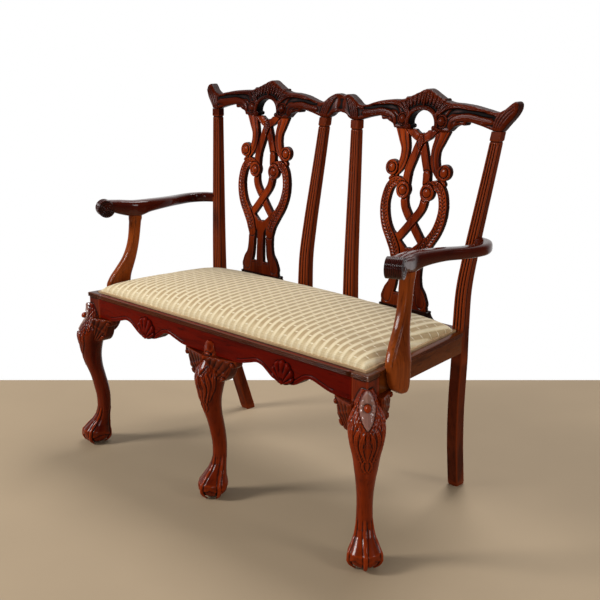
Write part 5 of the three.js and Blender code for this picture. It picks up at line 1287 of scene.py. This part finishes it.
def gripSkin():  # turned about its own axis: reeds round its front, and a spiral on each end
    half, radius = arm["width"] / 2 - arm["play"], arm["gripRadius"] - arm["play"]
    turns = np.linspace(-math.pi, math.pi, 120, endpoint=False)
    reeded = ease(2.25, 1.85, turns) * ease(-2.7, -2.3, turns)
    pitch = (arm["width"] - 2 * arm["rim"]) / arm["grooves"]
    spiral = radius - 3.4 - arm["spiralPitch"] * ((-turns / (2 * math.pi) + 0.3) % 1)
    end, middle = [], []  # rings as a radius, a place along the axis and a painted shade: dark in the spiral and grooves, a painted highlight on the reeds
    for r in np.linspace(0.4, radius - 1.0, 34):
        cut = sum(1.5 * hump(r - (spiral - arm["spiralPitch"] * lap), 0.9) for lap in range(3)) * ease(4.2, 6.5, r)
        out = half - cut + arm["eyeRise"] * domed(r, arm["eyeRadius"]) - 0.8 * ease(radius - 3, radius - 1, r)
        end.append((r, out, 1.3 * cut))
    for w in np.linspace(-half + 0.8, half - 0.8, 110):
        groove = 1 - np.abs(np.cos(math.pi * (w + half - arm["rim"]) / pitch + math.pi / 2)) ** 0.5
        groove = groove * (abs(w) < half - arm["rim"])
        line = 0.9 * hump(abs(w) - half + arm["rim"], 0.5)
        middle.append((radius - arm["grooveDepth"] * groove * reeded - line, w, (2.0 * groove - 0.35) * reeded + line))
    rows = [(r, -out, shade) for r, out, shade in end] + middle + end[::-1]
    (gripX, gripY), (restX, restY) = arm["grip"], arm["support"]
    turn = math.atan2(gripX - restX, restY - gripY) * 1.1
    rings = []
    for r, w, _ in rows:
        x = gripX + w * math.cos(turn) + r * np.cos(turns) * math.sin(turn)
        y = gripY + w * math.sin(turn) - r * np.cos(turns) * math.cos(turn)
        rings.append(np.stack([x, y, gripHeight + r * np.sin(turns)], 1))
    return ringSkin(rings), np.array([shade for _, _, shade in rows]).ravel()


skin = armSkin()
# hollow: painted shade in recesses, painted highlight on crowns
hollow = np.clip(hollowsOf(*skin[:2], 2) * 3, -1, 2)
makePair("arm_shaped", skin, armWood, "mahogany", ["arm"], hollow=hollow)
skin, hollow = gripSkin()
makePair("arm_grip_reeded", skin, armWood, "mahogany", hollow=hollow)

support = {
    "step": 1.6, "footDrop": 68, "footWidth": 27, "lapDepth": 76, "lapShare": 1.2, "curve": 1.5, "power": 3.2,
    "topLap": 9, "flare": 1.5,
}
supportHeight = arm["underside"] - railTop
lapFront = arm["support"][1] - support["lapDepth"] * support["lapShare"]
supportTable = throughPoints([
    [-support["footDrop"] / supportHeight, 0.7, 0.84, 0.45, 0.5], [-0.32, 0.5, 0.93, 0.48, 0.9],
    [-0.22, 0.2, 0.98, 0.5, 1], [0.02, 0.03, 1.02, 0.5, 1], [0.14, 0.14, 1.03, 0.42, 1], [0.28, 0.39, 1.09, 0.26, 1],
    [0.45, 0.68, 1.18, 0.1, 0.98], [0.67, 0.89, 1.28, 0, 1.04], [1, 1, 1.4, -0.1, 1.1],
], 120)  # shares of its height, of the lap's depth in front and behind, and of the foot's width out and thick


def supportField(x, y, z):
    share = (z - railTop) / supportHeight
    front, back, out, thick = readTable(share, supportTable, (1, 2, 3, 4))
    y0, y1 = lapFront + support["lapDepth"] * front, lapFront + support["lapDepth"] * back
    middle = (y0 + y1) / 2
    footX = sideX(middle) + support["footWidth"] * out
    centreX = mixed(footX, arm["support"][0], np.clip(share, 0, 1) ** support["curve"])
    field = outsideOval(x - centreX, y - middle, support["footWidth"] * thick / 2, (y1 - y0) / 2, support["power"])
    field = field + (0.9 * hump(y - y0 - 6, 1.2) - 0.5 * hump(y - y0 - 3, 1.6)) * ease(-0.1, 0.02, share)
    field = field - support["flare"] * ease(0.93, 1.0, share)
    field = largest(field, z - arm["underside"] - support["topLap"], railTop - support["footDrop"] - z)
    underTop, aside = z - railTop - 0.4, x - sideX(y)
    overRail = np.maximum(aside - 0.4, underTop)
    overNosing = largest(x - sideX(y, -settee["nosingReach"]) - 0.3, nosingBottom - 1.4 - z, underTop)
    overLeg = largest(aside - 0.5, y - legPost - 0.4, railBottom - 60 - z)
    return largest(field, -overRail, -overNosing, -overLeg)


lows, spots = fieldOver((462, 55, 372), (534, 182, arm["underside"] + 16), support["step"])
skin = skinOf(supportField(*spots), lows, support["step"])
# hollow: painted shade in recesses, painted highlight on crowns
makePair("arm_support_curved", skin, supportWood, "mahogany", ["arm_support"], hollow=hollowsOf(*skin))
print("arms made")


# The drop-in seat: a crowned pad in a striped cover, puffed by a short cloth simulation
seat = {
    "play": 1.4, "rim": 6, "crown": 47, "foot": 431.5, "grid": 6.5, "crownPower": 2.6, "roundShare": 0.42,
    "columns": 76, "rows": 34, "pressure": 4.0, "frames": 20, "mostMoved": 7, "shrink": 1.8, "fill": 0.8,
}
cover = {
    "cream": (0.75, 0.61, 0.37), "tan": (0.43, 0.295, 0.14), "dot": (0.86, 0.77, 0.57), "soil": (0.36, 0.26, 0.14),
    "pitch": 0.0218, "dash": 0.033, "warp": 0.0013, "frontSheenReach": 0.034,
    "frontEdge": (lipWidth - settee["toMiddle"]) / 1000,
}


def inMillimetres(places):  # the maker's, from metres about the middle
    return np.array(places) * 1000 + [0, settee["toMiddle"], 0]


def padBlank():
    inset = lipWidth + seat["play"]
    spread = [np.sin((np.linspace(0, 1, count) - 0.5) * math.pi) for count in (seat["columns"], seat["rows"])]
    across, along = np.meshgrid(*spread, indexing="ij")
    y = inset + (seatDepth - seat["play"] - inset) * (along + 1) / 2
    x = sideX(y, inset) * across
    fall = [np.clip(1 - np.abs(share) ** seat["crownPower"], 0, 1) for share in (across, along)]
    height = mixed(seat["rim"], seat["crown"], (fall[0] * fall[1]) ** seat["roundShare"]) - seat["shrink"]
    return slabSkin(*(np.stack([x, y, z], -1) for z in (railTop + height, seat["foot"] + 0 * x)))


def wave(tree, along, pitch):
    return sumOf(tree, "SINE", times(tree, along, 2 * math.pi / pitch))


def stripedCloth():
    material, tree, place = emptyMaterial("stripedCover")
    side, back, _ = addNode(tree, "ShaderNodeSeparateXYZ", [("Vector", place)]).outputs
    stray = times(tree, less(tree, noiseOf(tree, place, 7.0, 2.0), 0.5), 0.006)
    across = sumOf(tree, "DIVIDE", plus(tree, side, stray), cover["pitch"])
    stripe = sumOf(tree, "PINGPONG", across, 0.5)
    stagger = times(tree, sumOf(tree, "FLOOR", across), 0.5)
    beat = sumOf(tree, "PINGPONG", plus(tree, sumOf(tree, "DIVIDE", back, cover["dash"]), stagger), 0.5)
    # painted sheen: the tan dashes fade to cream towards the pad's front edge
    frontSheenFade = remapped(tree, back, cover["frontEdge"], cover["frontEdge"] + cover["frontSheenReach"])
    tan = times(tree, remapped(tree, stripe, 0.19, 0.28), remapped(tree, beat, 0.02, 0.05))
    ribs = remapped(tree, wave(tree, back, cover["warp"] * 2.2), -0.6, 0.6)
    weft = remapped(tree, wave(tree, side, cover["warp"]), -0.7, 0.7)
    dots = times(tree, remapped(tree, beat, 0.07, 0.03), remapped(tree, stripe, 0.36, 0.42))
    color = opaque(cover["cream"])
    for share, tone in (
        (times(tree, tan, frontSheenFade), "tan"), (times(tree, remapped(tree, stripe, 0.13, 0.03), 0.5), "dot"),
        (times(tree, dots, 0.8), "dot"), (times(tree, ribs, 0.1), "dot"),
        (times(tree, remapped(tree, noiseOf(tree, place, 260.0, 2.0), 0.35, 0.65), 0.14), "soil"),
    ):
        color = blended(tree, share, color, opaque(cover[tone]))
    raised = plus(tree, times(tree, less(tree, 1.0, tan), 1.6), times(tree, plus(tree, ribs, weft), 0.25))
    return finished(material, [
        ("Base Color", color), ("Roughness", 0.78), ("Normal", bumped(tree, raised, 0.6, 0.0014)),
        ("Sheen Weight", 0.25), ("Sheen Roughness", 0.4), ("Specular IOR Level", 0.25),
    ])


def placesOf(mesh):
    return np.array([v.co for v in mesh.vertices])


def puffed(points, faces):  # voxel remesh, then pressure from inside, held to a few millimetres
    pad = linked("pad_blank", meshOf("pad_blank", points, faces))
    remesh = pad.modifiers.new("remesh", "REMESH")
    remesh.mode, remesh.voxel_size = "VOXEL", seat["grid"] / 1000
    blank = remade(pad)
    pad.data = blank
    places = placesOf(blank)
    cloth = pad.modifiers.new("cloth", "CLOTH").settings
    cloth.use_pressure = True
    cloth.uniform_pressure_force = seat["pressure"]
    cloth.effector_weights.gravity = 0
    cloth.quality = 5
    for step in range(1, seat["frames"] + 1):
        bpy.context.scene.frame_set(step)
    moved = placesOf(remade(pad)) - places
    bpy.context.scene.frame_set(1)
    far = np.maximum(np.linalg.norm(moved, axis=1), 1e-9)[:, None]
    places = places + moved * np.minimum(1, seat["mostMoved"] / 1000 / far)
    print("pad puffed by up to", round(float(far.max()) * 1000, 1), "mm before the cap")
    bpy.data.objects.remove(pad)
    return inMillimetres(places), np.array([list(p.vertices) for p in blank.polygons if len(p.vertices) == 4])


def heldInPocket(points):  # below the rail's top the pad stays inside the lip, above it hardly passes it
    x, y, z = points.T
    inset = lipWidth + seat["play"] - 2.2 * ease(railTop + 1.5, railTop + 12, z)
    y = np.clip(y, inset, seatDepth - seat["play"] - 1.5)
    most = sideX(y, inset)
    return np.stack([np.clip(x, -most, most), y, np.maximum(z, seat["foot"])], 1)


points, faces = puffed(*padBlank())
mesh = meshOf("seat_pad", heldInPocket(relaxed(points, faces, 3, 0.4)), faces)
mesh.shade_smooth()
mesh.materials.append(stripedCloth())
pad = linked("seat_pad", mesh)
fine = pad.modifiers.new("fine", "SUBSURF")
fine.levels = fine.render_levels = 1
pad.data = remade(pad)
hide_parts("seat_cover", "seat_stuffing")
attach(pad, "seat")
print("seat pad made,", len(pad.data.polygons), "faces")


# Cloths and webbing of the seat, and finishes for the pieces that keep their CAD shapes
under = {
    "hem": 13, "hemRise": 0.12, "slack": 0.1, "thin": 0.2, "dustInset": 17.1, "baseInset": 25.8,
    "turnedEnd": 22, "webShare": 0.96, "webRounds": 120,
}


def wovenCloth(name, thread, dark, pale):
    material, tree, place = emptyMaterial(name)
    side, back, _ = addNode(tree, "ShaderNodeSeparateXYZ", [("Vector", place)]).outputs
    weave = times(tree, wave(tree, side, thread), wave(tree, back, thread))
    shade = remapped(tree, plus(tree, weave, times(tree, noiseOf(tree, place, 60.0), 1.2)), -0.4, 1.6)
    return finished(material, [
        ("Base Color", blended(tree, shade, opaque(dark), opaque(pale))), ("Roughness", 0.9),
        ("Normal", bumped(tree, weave, 0.5, 0.0006)), ("Specular IOR Level", 0.15),
    ])


def brushedSteel():
    material, tree, place = emptyMaterial("screwSteel")
    shade = remapped(tree, noiseOf(tree, place, 400.0), 0.3, 0.7)
    return finished(material, [
        ("Base Color", blended(tree, shade, opaque((0.3, 0.29, 0.27)), opaque((0.5, 0.49, 0.47)))),
        ("Roughness", remapped(tree, shade, 0, 1, (0.3, 0.5))), ("Metallic", 1.0),
    ])


linenCloth = wovenCloth("linenCloth", 0.0012, (0.33, 0.27, 0.17), (0.55, 0.47, 0.33))
juteWeb = wovenCloth("juteWebbing", 0.0028, (0.2, 0.13, 0.06), (0.42, 0.3, 0.16))
blackCloth = wovenCloth("cambricCloth", 0.0009, (0.012, 0.011, 0.01), (0.035, 0.032, 0.028))
screwSteel = brushedSteel()
webEdge = [(0.4, 0.72), (0.85, 0.72), (0.88, 1), (0.95, 1), (0.985, 0.9), (1, 0.3)]
webSection = [(-share, tall) for share, tall in webEdge[::-1]] + [(0, 0.72)] + webEdge


def makeCloth(name, node, inset, finish, slotName):  # stretched flat, with a turned hem
    (_, y0, z0), (_, y1, z1) = inMillimetres(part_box(node))
    across, along = np.meshgrid(np.linspace(-1, 1, 91), np.linspace(0, 1, 37), indexing="ij")
    y = mixed(y0, y1, along)
    half = sideX(y, inset)
    x = half * across
    toEdge = np.minimum(half - np.abs(x), np.minimum(y - y0, y1 - y))
    thin = under["thin"] + under["hemRise"] * (1 - ease(under["hem"] - 1, under["hem"] + 1, toEdge))
    middle = (z0 + z1) / 2 + under["slack"] * np.sin(x / 37) * np.sin(y / 29) * ease(0, 60, toEdge)
    skin = slabSkin(*(np.stack([x, y, middle + way * thin], -1) for way in (1, -1)))
    cloth = makePiece(name, skin, finish, slotName, [node], "seat")


def makeWebbing(node):  # a woven strap with thick selvedges and turned ends
    low, high = inMillimetres(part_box(node))
    along, across = (0, 1) if high[0] - low[0] > high[1] - low[1] else (1, 0)
    middle, half = (low + high) / 2, (high - low) / 2
    rings = []
    for at in np.linspace(low[along] + 0.3, high[along] - 0.3, under["webRounds"]):
        toEnd = min(at - low[along], high[along] - at)
        thick = half[2] * under["webShare"] * (1 if toEnd < under["turnedEnd"] else 0.82) * ease(-0.6, 0.8, toEnd)
        ripple = 0.05 * math.sin(at / 2.3)
        ring = np.zeros((2 * len(webSection), 3))
        ring[:, along] = at
        for k, (way, (share, tall)) in enumerate([(way, row) for way in (1, -1) for row in webSection[::way]]):
            ring[k, across] = middle[across] + half[across] * share * 0.995
            ring[k, 2] = middle[2] + way * thick * tall * 0.94 + ripple * (abs(share) < 0.8)
        rings.append(ring)
    makePiece(f"woven_{node}", ringSkin(rings), juteWeb, "jute", [node], "seat")


makeCloth("dust_cloth_stretched", "dust_cloth", under["dustInset"], blackCloth, "cambric")
makeCloth("base_cloth_stretched", "base_cloth", under["baseInset"], linenCloth, "linen")
for name in [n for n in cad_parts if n.startswith("webbing")]:
    makeWebbing(name)
print("cloths and webbing made")

for name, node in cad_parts.items():
    if node.hide_render:
        continue
    finish = screwSteel if "screw" in name else crestWood if name == "rear_rail" else beechWood
    finishes = node.data.materials
    if len(finishes) == 0:
        finishes.append(finish)
    for k in range(len(finishes)):
        finishes[k] = finish
print("CAD nodes finished")


# Camera at the photograph's place, with its field of view
view = {
    "place": (1.8674, -1.8112, 1.1646), "yaw": 0.778, "pitch": -0.26, "focal": 1034.9, "picture": 600, "sensor": 36,
}
scene = bpy.context.scene
camera = bpy.data.cameras.new("camera")
camera.sensor_width = view["sensor"]
camera.lens = view["focal"] / view["picture"] * view["sensor"]
scene.camera = linked("camera", camera)
scene.camera.location = view["place"]
scene.camera.rotation_euler = (math.pi / 2 + view["pitch"], 0, view["yaw"])

# Pale floor, white surroundings and soft lamps
studio = {
    "floorColor": (0.35, 0.258, 0.16), "floorHalf": 9, "floorFar": 3.322, "skyStrength": 0.28, "roomShade": 0.06,
    "lamps": [  # place, aims at, size and watts
        ((-2.2, -3.0, 2.4), (0, 0, 0.5), 1.0, 135),
        ((3.4, 0.6, 1.8), (0, 0, 0.6), 1.0, 28),
        ((-0.4, 1.6, 3.6), (0, 0, 0.6), 1.6, 85),
        ((2.9, -3.1, 1.1), (0.3, -0.2, 0.4), 1.1, 24),
    ],
}
ahead = np.array([-math.sin(view["yaw"]), math.cos(view["yaw"]), 0])
aside = np.array([ahead[1], -ahead[0], 0]) * studio["floorHalf"]
farEdge = np.array([*view["place"][:2], 0]) + ahead * studio["floorFar"]
nearEdge = farEdge - ahead * 2 * studio["floorHalf"]
floorMesh = bpy.data.meshes.new("floor")
corners = (nearEdge - aside, nearEdge + aside, farEdge + aside, farEdge - aside)
floorMesh.from_pydata([tuple(corner) for corner in corners], [], [(0, 1, 2, 3)])
floorMaterial, tree, place = emptyMaterial("paleFloor")
shade = remapped(tree, noiseOf(tree, place, 2.0), 0.3, 0.7)
dim, pale = (opaque(tuple(part * level for part in studio["floorColor"])) for level in (0.96, 1.03))
finished(floorMaterial, [("Base Color", blended(tree, shade, dim, pale)), ("Roughness", 0.75)])
floorMesh.materials.append(floorMaterial)
linked("floor", floorMesh)

world = bpy.data.worlds.new("studio")
scene.world = world
world.use_nodes = True
tree = world.node_tree
tree.nodes.clear()
path = addNode(tree, "ShaderNodeLightPath").outputs
seen = path["Is Transmission Ray"]
for kind in ("Is Glossy Ray", "Is Camera Ray"):
    seen = sumOf(tree, "MAXIMUM", path[kind], seen)
way = addNode(tree, "ShaderNodeTexCoord").outputs["Object"]
toWall = addNode(tree, "ShaderNodeVectorMath", [(0, way), (1, tuple(ahead))], operation="DOT_PRODUCT").outputs["Value"]
wall = remapped(tree, toWall, 0.15, 0.6, (studio["roomShade"], 1.0))  # the room is darker on the viewer's side
bright = sumOf(tree, "MAXIMUM", wall, path["Is Camera Ray"])
strength = plus(tree, times(tree, seen, bright), times(tree, less(tree, 1.0, seen), studio["skyStrength"]))
sky = addNode(tree, "ShaderNodeBackground", [("Color", opaque((1, 1, 1))), ("Strength", strength)])
addNode(tree, "ShaderNodeOutputWorld", [("Surface", sky.outputs[0])])

for i, (place, aim, size, watts) in enumerate(studio["lamps"]):
    light = bpy.data.lights.new(f"lamp_{i + 1}", "AREA")
    light.shape, light.size, light.energy = "SQUARE", size, watts
    lamp = linked(light.name, light)
    lamp.location = place
    x, y, z = np.subtract(place, aim)
    lamp.rotation_euler = (math.atan2(math.hypot(x, y), z), 0, math.atan2(x, -y))
scene.view_settings.view_transform = "Standard"
print("camera, floor and lamps made")
